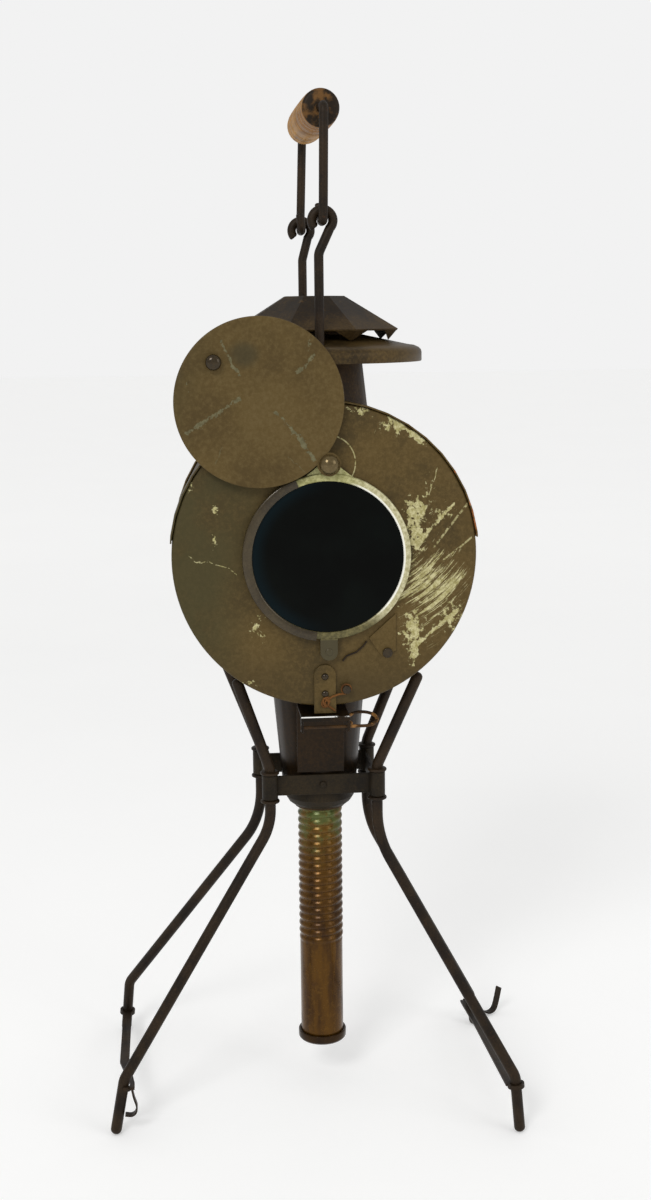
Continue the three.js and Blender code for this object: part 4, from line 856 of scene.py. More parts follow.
def drawn_box(node: str) -> tuple[Vector, Vector]:
    """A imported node's lowest and highest corners, in the millimetres that shapes are drawn in."""
    low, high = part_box(node)
    return TO_FRAME.inverted() @ low, TO_FRAME.inverted() @ high


def new_parts(made: Mapping[str, Any]) -> tuple[list[bmesh.types.BMVert], list[bmesh.types.BMEdge]]:
    """The new vertices of an extrusion, and the edges that run between them."""
    verts = [g for g in made["geom"] if isinstance(g, bmesh.types.BMVert)]
    inside = set(verts)
    return verts, [g for g in made["geom"] if isinstance(g, bmesh.types.BMEdge) and set(g.verts) <= inside]


class Form:
    """A piece being shaped in millimetres about the neck's axis."""

    def __init__(self) -> None:
        """Start with nothing."""
        self.bm = bmesh.new()

    def add(self, part: bmesh.types.BMesh, place: Matrix | None = None) -> "Form":
        """Join a shape to the piece.

        Args:
            part: The shape, which is used up.
            place: Where it goes.

        Returns:
            The piece, for the next call.
        """
        if place is not None:
            part.transform(place)
        held = bpy.data.meshes.new("held")
        part.to_mesh(held)
        part.free()
        self.bm.from_mesh(held)
        bpy.data.meshes.remove(held)
        return self

    def turned(
        self, profile: Sequence[Flat], axis: Axis, at: Sequence[float] = (0, 0, 0), steps: int = 128
    ) -> "Form":
        """Spin an outline of radius and height.

        Args:
            profile: The outline, which ends on the axis or closes on itself.
            axis: What it is turned about.
            at: Where the axis's zero is.
            steps: Faces around.

        Returns:
            The piece, for the next call.
        """
        part = bmesh.new()
        upright = axis is Axis.Z
        verts = [part.verts.new((r, 0, h) if upright else (r, h, 0)) for r, h in profile]
        edges = [part.edges.new(pair) for pair in zip(verts, verts[1:])]
        line = (0, 0, 1) if upright else (0, 1, 0)
        bmesh.ops.spin(
            part, geom=verts + edges, cent=(0, 0, 0), axis=line, dvec=(0, 0, 0), angle=math.tau,
            steps=steps, use_merge=True, use_duplicate=False,
        )
        bmesh.ops.remove_doubles(part, verts=part.verts, dist=1e-3)
        bmesh.ops.recalc_face_normals(part, faces=part.faces)
        return self.add(part, Matrix.Translation(at))

    def rod(self, path: Sequence[Vector], radius: float, sides: int = 16, rounding: float = 0.45) -> "Form":
        """Sweep a round section along a path.

        Args:
            path: The points of its middle line.
            radius: The wire's radius.
            sides: Faces around.
            rounding: The ends' rounding, as a share of the radius.

        Returns:
            The piece, for the next call.
        """
        part = bmesh.new()
        ahead, behind = [*path[1:], path[-1]], [path[0], *path[:-1]]
        tangents = [(after - before).normalized() for after, before in zip(ahead, behind)]
        turn = Vector((0, 0, 1)).rotation_difference(tangents[0])
        frames = []
        for i, (place, tangent) in enumerate(zip(path, tangents)):
            if i:
                turn = tangents[i - 1].rotation_difference(tangent) @ turn
            frames.append(Matrix.Translation(place) @ turn.to_matrix().to_4x4())
        bmesh.ops.create_circle(part, cap_ends=False, radius=radius, segments=sides, matrix=frames[0])
        edges = list(part.edges)
        ends = [edges]
        for before, after in zip(frames, frames[1:]):
            verts, edges = new_parts(bmesh.ops.extrude_edge_only(part, edges=edges))
            bmesh.ops.transform(part, matrix=after @ before.inverted(), verts=verts)
        ends.append(edges)
        for rim in ends:
            bmesh.ops.contextual_create(part, geom=rim)
        bmesh.ops.recalc_face_normals(part, faces=part.faces)
        rims = [edge for rim in ends for edge in rim]
        bmesh.ops.bevel(
            part, geom=rims, offset=radius * rounding, segments=3, profile=0.5, affect="EDGES", material=-1
        )
        return self.add(part)

    def plate(self, outline: Sequence[Flat], front: float, thickness: float) -> "Form":
        """Cut a flat plate that faces the front.

        Args:
            outline: Its corners, across and up.
            front: The Y of its front face.
            thickness: Its thickness.

        Returns:
            The piece, for the next call.
        """
        part = bmesh.new()
        face = part.faces.new([part.verts.new((x, front, z)) for x, z in outline])
        moved, _ = new_parts(bmesh.ops.extrude_face_region(part, geom=[face]))
        bmesh.ops.translate(part, verts=moved, vec=(0, thickness, 0))
        bmesh.ops.recalc_face_normals(part, faces=part.faces)
        return self.add(part)

    def node(self, name: str) -> "Form":
        """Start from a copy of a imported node, with its loose triangles joined."""
        part = bmesh.new()
        part.from_mesh(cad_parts[name].data)
        bmesh.ops.remove_doubles(part, verts=part.verts, dist=2e-6)
        bmesh.ops.dissolve_limit(
            part, angle_limit=math.radians(1.2), use_dissolve_boundaries=False, verts=part.verts,
            edges=part.edges, delimit=set(),
        )
        return self.add(part, TO_FRAME.inverted())

    def finish(
        self, name: str, body: str, material: bpy.types.Material, bevel: float = 0.25, sharp: float = 35.0
    ) -> None:
        """Bring the piece into the frame, dress it and let it stand for the node of its name.

        Args:
            name: The piece's name.
            body: The body that it rides on.
            material: Its finish.
            bevel: Radius of its broken edges, or zero.
            sharp: Angle from which an edge counts as one, in degrees.
        """
        self.bm.transform(TO_FRAME)
        mesh = bpy.data.meshes.new(name + "_shape")
        self.bm.to_mesh(mesh)
        self.bm.free()
        mesh.shade_smooth()
        mesh.set_sharp_from_angle(angle=math.radians(sharp))
        mesh.materials.append(material)
        piece = bpy.data.objects.new(name + "_look", mesh)
        bpy.context.scene.collection.objects.link(piece)
        if bevel:
            rounding = piece.modifiers.new("Bevel", "BEVEL")
            rounding.width = bevel * MM
            rounding.segments = 2
            rounding.limit_method = "ANGLE"
            rounding.angle_limit = math.radians(sharp)
            rounding.harden_normals = True
        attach(piece, body)
        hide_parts(name)
        LOG.info("%s rides on %s", piece.name, body)


def dress(material: bpy.types.Material, *nodes: str) -> None:
    """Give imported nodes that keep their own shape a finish.

    Args:
        material: The finish.
        *nodes: The nodes' names.
    """
    for name in nodes:
        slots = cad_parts[name].data.materials
        slots.clear()
        slots.append(material)
        LOG.info("%s keeps its shape", name)


def soften(
    name: str, body: str, material: bpy.types.Material, bevel: float, sharp: float = 35.0
) -> None:
    """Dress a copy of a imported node, with smooth shading and broken edges."""
    Form().node(name).finish(name, body, material, bevel, sharp)


@dataclass(frozen=True)
class Rivet:
    """A domed rivet head, on a plane so far in front of the neck's axis, or behind it."""

    radius: float
    height: float
    plane: float
    rear: bool = False

    def set(self, name: str, body: str, finish: Patina, at: Flat) -> None:
        """Set the head.

        Args:
            name: The piece's name.
            body: The body that it rides on.
            finish: Its finish.
            at: Its place across and up.
        """
        form = Form().turned(dome(self.radius, self.height, -self.plane), Axis.Y, steps=32)
        if self.rear:
            form.bm.transform(Matrix.Rotation(math.pi, 4, "Z"))
        form.bm.transform(Matrix.Translation((at[0], 0, at[1])))
        form.finish(name, body, finish.material(), 0)


# Sub-assemblies


@dataclass
class LampHouse:
    """The drum on its side, its back, its hood and the reflector."""

    bowl_radius: float = 76.0
    bowl_depth: float = 23.0
    bowl_back: float = 43.5
    bowl_hole: float = 2.6
    wall: float = 1.0
    rings: int = 14

    def bowl(self) -> None:
        """Spin the reflector, a shallow bowl cut from a sphere."""
        sphere = (self.bowl_radius**2 + self.bowl_depth**2) / (2 * self.bowl_depth)
        sweep = math.degrees(math.asin(self.bowl_radius / sphere))
        turns = angles(0, sweep, self.rings)[1:]
        line = [(self.bowl_hole, self.bowl_back)]
        line += [(sphere * math.sin(a), self.bowl_back - sphere * (1 - math.cos(a))) for a in turns]
        outline = line + [(r, y - self.wall) for r, y in reversed(line)] + [line[0]]
        form = Form().turned(outline, Axis.Y, (0, 0, DRUM_Z), steps=96)
        form.finish("reflector", "lantern", SILVERED.material(), 0)

    def build(self) -> None:
        """Make the lamp house."""
        soften("drum_shell", "lantern", DARK_TIN.material(), 0.2)
        soften("rear_cover", "lantern", OLIVE.material(), 0.4)
        soften("hood_band", "lantern", HOOD_PAINT.material(), 0.3)
        self.bowl()
        dress(STEEL.material(), "reflector_stud", "reflector_nut")


@dataclass
class Door:
    """The lid that slides off the front, with all it carries.

    An outline ending in _line holds radius and distance forwards of the piece's foot.
    """

    radius: float = 98.5
    front: float = 64.0
    rim: float = 10.0
    corner: float = 1.6
    sheet: float = 1.0
    window: float = 48.5
    faces: int = 160
    head_radius: float = 6.5
    head_height: float = 5.2
    # The pivot rivet's shank by radius and rear end, and its tail by radius and both ends
    shank: Flat = (2.2, -62.65)
    shank_in_head: float = 0.5
    tail: tuple[float, float, float] = (4.0, -61.4, -62.6)
    hasp_x: float = -1.2
    hasp_half: float = 7.2
    hasp_top: float = 320.0
    hasp_bottom: float = 287.4
    hasp_sheet: float = 1.2
    hasp_rivets: Flat = (312.1, 300.7)
    post: Flat = (12.6, 303.7)
    post_line: tuple[Flat, ...] = ((0.0, 0.0), (1.6, 0.0), (1.6, 4.4), (3.0, 4.5), (2.6, 5.4), (0.0, 5.6))
    wire: float = 0.7
    wire_ahead: float = 2.2
    loop: float = 3.0
    ledge_z: float = 286.7
    # The run from the post: shares of the post's place across and of the drop to the ledge
    run_shares: tuple[Flat, ...] = (
        (0.62, 0.2), (0.3, 0.28), (0.02, 0.38), (-0.1, 0.46), (-0.12, 0.54), (-0.04, 0.63),
        (0.1, 0.68), (0.26, 0.76), (0.42, 0.86),
    )
    # The twisted rings: half width, half height, lean in degrees and place in depth
    twists: tuple[tuple[float, float, float, float], ...] = (
        (2.2, 3.4, 25, 0.0), (1.5, 2.9, -20, -0.35), (2.4, 1.7, 70, -0.2),
    )
    twist_x: float = -1.0
    twist_wire: float = 0.6

    def lid(self) -> None:
        """Press the lid: a flat face with an eccentric window and a rounded rim."""
        part = bmesh.new()
        flat = {"cap_ends": False, "segments": self.faces}
        bmesh.ops.create_circle(part, radius=self.radius - self.corner, **flat)
        inner = bmesh.ops.create_circle(part, radius=self.window, **flat)["verts"]
        bmesh.ops.translate(part, verts=inner, vec=(LENS[0], LENS[1] - DRUM_Z, 0))
        bmesh.ops.bridge_loops(part, edges=part.edges)
        inside = set(inner)
        rim = [e for e in part.edges if e.is_boundary and not inside & set(e.verts)]
        bands = [
            (self.radius - self.corner * (1 - math.sin(a)), self.corner * (1 - math.cos(a)))
            for a in angles(0, 90, 4)[1:]
        ]
        for reach, back in [*bands, (self.radius, self.rim), (self.radius - self.sheet, self.rim)]:
            verts, rim = new_parts(bmesh.ops.extrude_edge_only(part, edges=rim))
            for vert in verts:
                outward = vert.co.xy.normalized() * reach
                vert.co = (outward.x, outward.y, -back)
        bmesh.ops.recalc_face_normals(part, faces=part.faces)
        if sum(f.normal.z * f.calc_area() for f in part.faces) < 0:
            bmesh.ops.reverse_faces(part, faces=part.faces)
        bmesh.ops.solidify(part, geom=part.faces, thickness=self.sheet)
        stand = Matrix.Translation((0, -self.front, DRUM_Z)) @ Matrix.Rotation(math.pi / 2, 4, "X")
        Form().add(part, stand).finish("lid", "door", LID_PAINT.material(), 0.15, 45)

    def pivot(self) -> None:
        """Set the rivet that the filter and the cover swing on."""
        at = (PIVOT[0], 0, PIVOT[1])
        face = COVER_FACE - GAP
        form = Form().turned(dome(self.head_radius, self.head_height, face, 12), Axis.Y, at, steps=64)
        form.turned(peg(*self.shank, COVER_FACE - self.shank_in_head), Axis.Y, at, steps=24)
        form.turned(peg(*self.tail), Axis.Y, at, steps=32)
        form.finish("pivot_rivet", "door", RIVET_TIN.material(), 0.2)

    def screw(self) -> None:
        """Set the keeper's round screw."""
        low, high = drawn_box("keeper_screw")
        middle, reach = (low + high) / 2, (high.x - low.x) / 2
        head = [
            (0.0, high.y), (reach * 0.8, high.y), (reach, high.y - 0.4),
            (reach, low.y + 0.6), (reach * 0.8, low.y), (0.0, low.y),
        ]
        form = Form().turned(head, Axis.Y, (middle.x, 0, middle.z), steps=40)
        form.finish("keeper_screw", "door", DARK_RIVET.material(), 0.2)

    def hasp(self, back: float) -> None:
        """Cut the hasp and set its two rivets.

        Args:
            back: The Y of its back face.
        """
        x, half = self.hasp_x, self.hasp_half
        turn = flat_arc((x, self.hasp_top - half), half, 0, 180, 16)
        outline = [(x - half, self.hasp_bottom), (x + half, self.hasp_bottom), *turn]
        form = Form().plate(outline, back - self.hasp_sheet, self.hasp_sheet)
        form.finish("hasp", "door", OLIVE.material(), 0.35)
        rivet = Rivet(2.3, 1.5, -(back - self.hasp_sheet - GAP))
        for name, height in zip(("hasp_rivet_upper", "hasp_rivet_lower"), self.hasp_rivets):
            rivet.set(name, "door", DARK_RIVET, (x, height))

    def tether(self, foot: float) -> None:
        """Bend the rusty wire round its post and down to the ledge, twisted on the way.

        Args:
            foot: The Y of the post's foot.
        """
        x, z = self.post
        stem = [(radius, foot - ahead) for radius, ahead in self.post_line]
        form = Form().turned(stem, Axis.Y, (x, 0, z), steps=32)
        form.finish("tether_post", "door", DARK_RIVET.material(), 0.15)
        y, drop, loop = foot - self.wire_ahead, z - self.ledge_z, self.loop

        def wound(a: float) -> Vector:
            """A point of the loop round the post."""
            return Vector((x + loop * math.cos(a), y + 0.2 * math.sin(3 * a), z + loop * math.sin(a)))

        path = arc(wound, -20, 280, 20)
        path += [Vector((x * across, y, z - drop * down)) for across, down in self.run_shares]
        form = Form().rod(path, self.wire, 10)
        for across, upright, lean, depth in self.twists:
            turn = Matrix.Rotation(math.radians(lean), 3, "Y")
            centre = Vector((self.twist_x, y + depth, z - drop / 2))

            def twisted(a: float) -> Vector:
                """A point of one twisted ring."""
                off = Vector((across * math.cos(a), 0.25 * math.sin(2 * a), upright * math.sin(a)))
                return centre + turn @ off

            form.rod(arc(twisted, 0, 345, 30), self.twist_wire, 8)
        form.finish("tether_wire", "door", RUSTY_WIRE.material(), 0)

    def build(self) -> None:
        """Make the door."""
        self.lid()
        dress(ClearGlass("clear_glass").material(), "clear_lens")
        dress(DARK_TIN.material(), "lens_retainer", "pivot_washer_front", "pivot_washer_rear")
        soften("filter_keeper", "door", OLIVE.material(), 0.3)
        soften("filter_spring", "door", BLACK_WIRE.material(), 0, 60)
        self.screw()
        self.pivot()
        self.hasp(-self.front - GAP)
        self.tether(-self.front - GAP)


@dataclass
class SignalFilter:
    """The coloured glass in its ring, which swings about the pivot above it."""

    front: float = -69.2
    back: float = -65.8
    sight: float = 48.8
    edge: float = 53.8
    lip: float = 1.1
    seat: float = 1.15
    sheet: float = 0.65
    glass: float = 50.6
    glass_half: float = 0.7
    ear_half: float = 19.0
    ear_sheet: float = 1.2
    boss: float = 6.2
    neck: Flat = (9.5, -4.0)
    reach: float = 60.0
    tab_half: float = 5.65
    tab_length: float = 14.4
    tab_set_back: float = 0.1
    channel_from: float = 112.0
    channel_to: float = 261.0
    channel_wall: float = 0.9
    channel_back: float = -66.7

    def ring(self) -> Form:
        """Spin the frame's ring, with its rounded inner lip and the seat for the glass."""
        lip, seat = self.lip, self.glass + GAP
        roll = [
            (self.sight + lip * (1 - math.cos(a)), self.front + lip * (1 - math.sin(a)))
            for a in angles(0, 90, 5)
        ]
        outline = [
            *roll, (self.edge - 1.4, self.front), (self.edge - 0.4, self.front + 0.4),
            (self.edge, self.front + 1.4), (self.edge, self.back), (self.sight, self.back),
            (self.sight, self.back - self.sheet), (seat, self.back - self.sheet),
            (seat, self.front + self.seat), roll[0],
        ]
        return Form().turned(outline, Axis.Y, (LENS[0], 0, LENS[1]), steps=144)

    def ear(self, form: Form) -> None:
        """Cut the ear that carries the ring from the pivot."""
        wall = (self.glass + self.edge) / 2
        low = math.sqrt(wall**2 - self.ear_half**2) - self.reach
        neck_x, neck_z = self.neck
        under = [(-neck_x, neck_z), (-self.ear_half, low), (0, wall - self.reach)]
        under += [(self.ear_half, low), (neck_x, neck_z)]
        outline = flat_arc(PIVOT, self.boss, -10, 190, 14)
        outline += [(PIVOT[0] + x, PIVOT[1] + z) for x, z in under]
        form.plate(outline, self.back - GAP - self.ear_sheet, self.ear_sheet)

    def tab(self, form: Form) -> None:
        """Cut the tab below the ring, with its dimple."""
        top, face = LENS[1] - self.edge + self.sheet, self.front + self.tab_set_back
        centre = (LENS[0], top - self.tab_length + self.tab_half)
        outline = flat_arc(centre, self.tab_half, 180, 360, 14)
        outline += [(LENS[0] + self.tab_half, top), (LENS[0] - self.tab_half, top)]
        form.plate(outline, face, self.ear_sheet)
        form.turned(dome(2.4, 0.85, face), Axis.Y, (centre[0], 0, centre[1]), steps=32)

    def channel(self) -> None:
        """Roll the half-round channel over the frame's left side."""
        low, front, end = self.edge + GAP, self.front - GAP, self.front - GAP - self.channel_wall
        out, back = low + self.channel_wall, self.channel_back
        section = [
            (self.sight, front), (low, front), (low, back), (out, back), (out, front + 0.3),
            (low + 0.7, front - 0.3), (low + 0.2, end + 0.25), (low - 0.7, end + 0.05), (low - 1.8, end),
            (self.sight + 1.8, end), (self.sight + 0.8, end + 0.2), (self.sight + 0.2, end + 0.5),
        ]
        part = bmesh.new()
        first = [part.verts.new((r, y, 0)) for r, y in section]
        turn = Matrix.Rotation(math.radians(-self.channel_from), 4, "Y")
        bmesh.ops.transform(part, matrix=turn, verts=first)
        face = part.faces.new(first)
        geom = [face, *face.edges, *face.verts]
        # The spin takes the first face along, so a copy stays behind and closes that end
        bmesh.ops.duplicate(part, geom=geom)
        bmesh.ops.spin(
            part, geom=geom, cent=(0, 0, 0), axis=(0, 1, 0), dvec=(0, 0, 0), steps=72, use_duplicate=False,
            angle=-math.radians(self.channel_to - self.channel_from),
        )
        bmesh.ops.remove_doubles(part, verts=part.verts, dist=1e-3)
        bmesh.ops.recalc_face_normals(part, faces=part.faces)
        form = Form().add(part, Matrix.Translation((LENS[0], 0, LENS[1])))
        form.finish("filter_channel", "filter", GREY_TIN.material(), 0, 40)

    def build(self) -> None:
        """Make the filter."""
        form = self.ring()
        self.ear(form)
        self.tab(form)
        form.finish("filter_frame", "filter", RingWearAndHighlight("ring_wear_and_highlight", self.sight).material(), 0.2)
        self.channel()
        middle = (self.front + self.back) / 2
        disc = peg(self.glass, middle - self.glass_half, middle + self.glass_half)
        form = Form().turned(disc, Axis.Y, (LENS[0], 0, LENS[1]), steps=144)
        form.finish("filter_glass", "filter", DeepGlass("filter_glass_dark").material(), 0.1)


@dataclass
class Cover:
    """The disc that shuts off the light, left swung up to the left."""

    opened: float = 137.9
    reach: float = 58.5
    radius: float = 53.4
    ear: float = 7.5
    hole: float = 2.6
    sheet: float = 1.0
    stem: float = 1.8
    knob_reach: float = 96.3
    # The knob's outline: radius and distance forwards of the disc's face
    knob_line: tuple[Flat, ...] = (
        (0.0, 0.0), (2.4, 0.0), (2.4, 0.9), (3.9, 1.5), (4.9, 2.8), (5.0, 3.9), (4.3, 5.2), (2.8, 6.1),
        (1.2, 6.35), (0.0, 6.35),
    )

    def along(self, reach: float) -> tuple[float, float, float]:
        """A place on the line from the pivot through the knob."""
        turn = math.radians(self.opened)
        return (PIVOT[0] + reach * math.cos(turn), 0, PIVOT[1] + reach * math.sin(turn))

    def build(self) -> None:
        """Make the cover."""
        face, back, radius = COVER_FACE, COVER_FACE + self.sheet, self.radius
        disc = [
            (0.0, back), (radius - 0.5, back), (radius, back - 0.4), (radius - 0.15, face + 0.15),
            (radius - 0.6, face), (radius - 1.6, face + 0.05), (radius - 2.6, face + 0.12),
            (0.0, face + 0.12),
        ]
        ear = [(self.hole, back), (self.ear, back), (self.ear, face + 0.1), (self.hole, face + 0.1)]
        form = Form().turned(disc, Axis.Y, self.along(self.reach), steps=144)
        form.turned([*ear, ear[0]], Axis.Y, self.along(0), steps=48)
        form.finish("cover_disc", "cover", COVER_PAINT.material(), 0)
        knob = [(radius, face - ahead) for radius, ahead in self.knob_line]
        form = Form().turned(knob, Axis.Y, self.along(self.knob_reach), steps=48)
        form.turned(peg(self.stem, back + GAP, face), Axis.Y, self.along(self.knob_reach), steps=24)
        form.finish("cover_knob", "cover", DARK_RIVET.material(), 0, 50)


@dataclass
class Chimney:
    """The flue with its rain skirt and eight-sided roof, and the stays beside it."""

    flue: float = 34.0
    skirt_inner: float = 30.9
    # The skirt's outline outside its inner edge: radius and height, round its turned-down rim
    skirt_line: tuple[Flat, ...] = (
        (62.0, 524.2), (66.5, 523.5), (69.5, 522.2), (71.0, 520.7), (71.5, 519.0), (71.5, 513.8),
        (71.1, 513.2), (70.5, 513.3), (70.3, 514.0), (70.2, 518.6), (69.7, 519.8), (68.6, 520.9),
        (66.2, 522.2), (61.9, 522.9),
    )
    skirt_edge: Flat = (529.8, 531.0)
    stay_y: float = 58.0
    stay_radius: float = 3.0
    stay_heights: tuple[float, float, float, float] = (494.0, 503.0, 513.0, 581.5)
    stay_bends: tuple[float, float, float] = (6.0, 6.0, 9.0)
    rivet_z: float = 496.6
    eye_z: float = 601.5
    eye_circle: float = 6.6

    def stay(self, name: str, side: int, x: float, eye_x: float) -> None:
        """Bend a stay up to its open eye, and set its rivet.

        Args:
            name: The node that it stands for.
            side: Which side it is on, -1 for the front.
            x: Where its foot is across.
            eye_x: Where its eye is across.
        """
        y, foot = side * self.stay_y, side * (self.flue + self.stay_radius + GAP)

        def eye(a: float) -> Vector:
            """A point of the eye."""
            across, rise = self.eye_circle * math.cos(a), self.eye_circle * math.sin(a)
            return Vector((eye_x + across, y, self.eye_z + rise))

        neck = [Vector((x, depth, z)) for depth, z in zip((foot, foot, y, y), self.stay_heights)]
        path = bent([*neck, eye(math.radians(-45))], self.stay_bends, 6) + arc(eye, -35, 225, 26)
        form = Form().rod(path, self.stay_radius, 16)
        form.finish(name, "lantern", BLACK_WIRE.material(), 0, 50)
        head = Rivet(2.6, 1.3, self.flue + 2 * (self.stay_radius + GAP), side > 0)
        head.set(name + "_rivet", "lantern", DARK_RIVET, (x, self.rivet_z))

    def build(self) -> None:
        """Make the chimney."""
        soften("chimney_tube", "lantern", DARK_TIN.material(), 0.3)
        low, high = ((self.skirt_inner, height) for height in self.skirt_edge)
        form = Form().turned([high, *self.skirt_line, low, high], Axis.Z, steps=144)
        form.finish("skirt_disc", "lantern", SKIRT_TIN.material(), 0)
        soften("cowl_roof", "lantern", ROOF_TIN.material(), 0.5, 12)
        self.stay("front_stay", -1, -1.6, BAIL_X[0])
        self.stay("rear_stay", 1, -2.8, BAIL_X[1])


@dataclass
class Bail:
    """The carrying bail and its turned wooden grip."""

    radius: float = 2.9
    seat_z: float = 601.15
    y: float = 64.5
    hook: tuple[float, float, float] = (-1.2, 50.5, 11.5)
    top: float = 670.2
    top_x: Flat = (1.9, -1.2)
    bend: float = 4.0
    half: float = 50.0
    bore: float = 3.0
    body_radius: float = 12.5
    taper: float = 0.6
    groove_depth: float = 0.35
    groove_half: Flat = (0.3, 0.9)
    grooves: tuple[float, ...] = (-0.8, -0.62, -0.3, 0.3, 0.62, 0.8)
    # The ends' rounding: radius, and distance from the end
    end_line: tuple[Flat, ...] = ((9.6, 0.0), (11.0, 0.5), (11.8, 1.6))

    def run(self, side: int, x: float, top_x: float) -> list[Vector]:
        """Corners of one side of the bail, from its hook up to the grip.

        Args:
            side: Which side it is on, -1 for the front.
            x: Where it hangs across.
            top_x: Where it is across at the grip.

        Returns:
            The corners.
        """
        lean, hook_y, rise = self.hook
        places = [
            (x + lean, hook_y, self.seat_z + rise), (x, hook_y, self.seat_z),
            (x, self.y, self.seat_z), (top_x, self.y, self.top),
        ]
        return [Vector((across, side * depth, height)) for across, depth, height in places]

    def grip_line(self) -> list[Flat]:
        """Outline of the grip, with its turned grooves."""
        half, (narrow, wide) = self.half, self.groove_half
        low = [(radius, -half + inset) for radius, inset in self.end_line]
        profile = [(self.bore, -half), *low]
        for share in self.grooves:
            radius, place = self.body_radius - self.taper * abs(share) ** 3, share * half
            floor = radius - self.groove_depth
            profile += [(radius, place - wide), (floor, place - narrow)]
            profile += [(floor, place + narrow), (radius, place + wide)]
        profile += [(radius, -height) for radius, height in reversed(low)]
        return [*profile, (self.bore, half), (self.bore, -half)]

    def build(self) -> None:
        """Make the bail."""
        front, rear = (self.run(side, x, top) for side, x, top in zip((-1, 1), BAIL_X, self.top_x))
        path = bent([*front, *reversed(rear)], [self.bend] * 6, 8)
        form = Form().rod(path, self.radius, 16)
        form.finish("bail_wire", "bail", BLACK_WIRE.material(), 0, 50)
        middle = Vector((sum(self.top_x) / 2, 0, self.top))
        turn = math.atan2(self.top_x[0] - self.top_x[1], 2 * self.y)
        place = Matrix.Translation(middle) @ Matrix.Rotation(turn, 4, "Z")
        heading = (place.to_3x3() @ Vector((0, 1, 0))).normalized()
        wood = TurnedWood("turned_wood", TO_FRAME @ middle, heading, self.half)
        form = Form().turned(self.grip_line(), Axis.Y, steps=96)
        form.bm.transform(place)
        form.finish("grip", "grip", wood.material(), 0, 50)


@dataclass
class Neck:
    """The tapered neck, the dish under it, the catch in front and the collar for the legs."""

    pin_y: float = -67.55
    pin_z: float = 278.8
    pin_end: float = -17.9
    pin_wire: float = 1.1
    ring_radius: float = 9.6
    ring_x: float = 24.0
    tilt: float = 14.0

    def pin(self) -> None:
        """Bend the lock pin and its tilted ring."""
        tilt = math.radians(self.tilt)

        def ring(turn: float) -> Vector:
            """A point of the ring."""
            rear = self.ring_radius * (1 - math.cos(turn))
            across = self.ring_x + self.ring_radius * math.sin(turn)
            return Vector((across, self.pin_y + rear * math.cos(tilt), self.pin_z + rear * math.sin(tilt)))

        path = [Vector((x, self.pin_y, self.pin_z)) for x in (self.pin_end, 0)] + arc(ring, 0, 308, 40)
        finish = WearAndHighlightPiece("worn_pin", PIN_WIRE, "8f6637", across=(14.0, 17.0))
        Form().rod(path, self.pin_wire, 12).finish("lock_pin", "lock_pin", finish.material(), 0, 50)

    def build(self) -> None:
        """Make the neck."""
        soften("neck_tube", "lantern", NECK_TIN.material(), 0.3)
        soften("neck_dish", "lantern", COLLAR_TIN.material(), 0.3)
        dress(DARK_TIN.material(), "thread_socket")
        # Painted highlight: a thin near-white line along the front top edge of the catch's ledge
        ledge = WearAndHighlightPiece(
            "ledge_painted_highlight", NECK_TIN, "f4f3ee", forward=(-69.9, -70.2), upright=(285.8, 286.1)
        )
        soften("catch_bracket", "lantern", ledge.material(), 0.55)
        for name in ("collar_front", "collar_rear"):
            soften(name, "lantern", COLLAR_TIN.material(), 0.5)
        for end, rear in (("front", False), ("rear", True)):
            low, high = drawn_box("collar_rivet_" + end)
            middle = (low + high) / 2
            head = Rivet(2.4, 1.4, abs(low.y if rear else high.y), rear)
            head.set("collar_rivet_" + end, "lantern", COLLAR_TIN, (middle.x, middle.z))
        self.pin()


@dataclass
class CandleTube:
    """The brass tube that screws up the neck, and the candle inside it."""

    bottom: float = 31.0
    top: float = 352.0
    radius: float = 15.1
    bore: float = 12.8
    root: float = 14.4
    crest: float = 15.6
    pitch: float = 5.45
    thread_bottom: float = 107.0
    turns: int = 24
    rows_per_turn: int = 12
    green_from: float = 148.0
    # The end cap's outline: radius and height
    cap_line: tuple[Flat, ...] = (
        (0.0, 28.4), (8.0, 28.6), (13.0, 29.4), (16.0, 30.6), (17.0, 31.8), (17.1, 33.0), (17.1, 36.2),
        (16.8, 36.9), (15.5, 36.9), (15.45, 30.65), (0.0, 30.65),
    )

    def tube(self) -> None:
        """Roll the round thread into the tube's wall."""
        low, high = self.thread_bottom - self.pitch, self.thread_bottom + (self.turns + 1) * self.pitch
        rows = int((high - low) / self.pitch * self.rows_per_turn)
        outer = [(self.radius, low + (high - low) * i / rows) for i in range(rows + 1)]
        bottom, top = (((self.bore, z), (self.radius, z)) for z in (self.bottom, self.top))
        profile = [*bottom, *outer, *reversed(top), bottom[0]]
        form = Form().turned(profile, Axis.Z, steps=96)
        for vert in form.bm.verts:
            reach = vert.co.xy.length
            if reach < self.bore + 0.5 or not low < vert.co.z < high:
                continue
            turn = math.atan2(vert.co.y, vert.co.x) % math.tau
            phase = math.tau * (vert.co.z - self.thread_bottom) / self.pitch - turn
            rib = self.root + (self.crest - self.root) * (0.5 - 0.5 * math.cos(phase)) ** 0.62
            nearest = min(vert.co.z - low, high - vert.co.z) / self.pitch
            rise = min(1.0, max(0.0, nearest - 0.4))
            vert.co.xy *= (self.radius + (rib - self.radius) * rise) / reach
        form.finish("candle_tube", "candle_tube", Brass("tube_brass", self.green_from).material(), 0, 60)

    def build(self) -> None:
        """Make the tube and what it holds."""
        self.tube()
        brass = Brass("cap_brass", self.top, grime=0.72).material()
        Form().turned(self.cap_line, Axis.Z, steps=96).finish("end_cap", "candle_tube", brass, 0.15)
        soften("nozzle_cap", "candle_tube", brass, 0.25)
        dress(Tallow("tallow").material(), "candle")
        dress(COLLAR_TIN.material(), "wick")
        dress(brass, "candle_follower")
        dress(STEEL.material(), "pusher_spring")


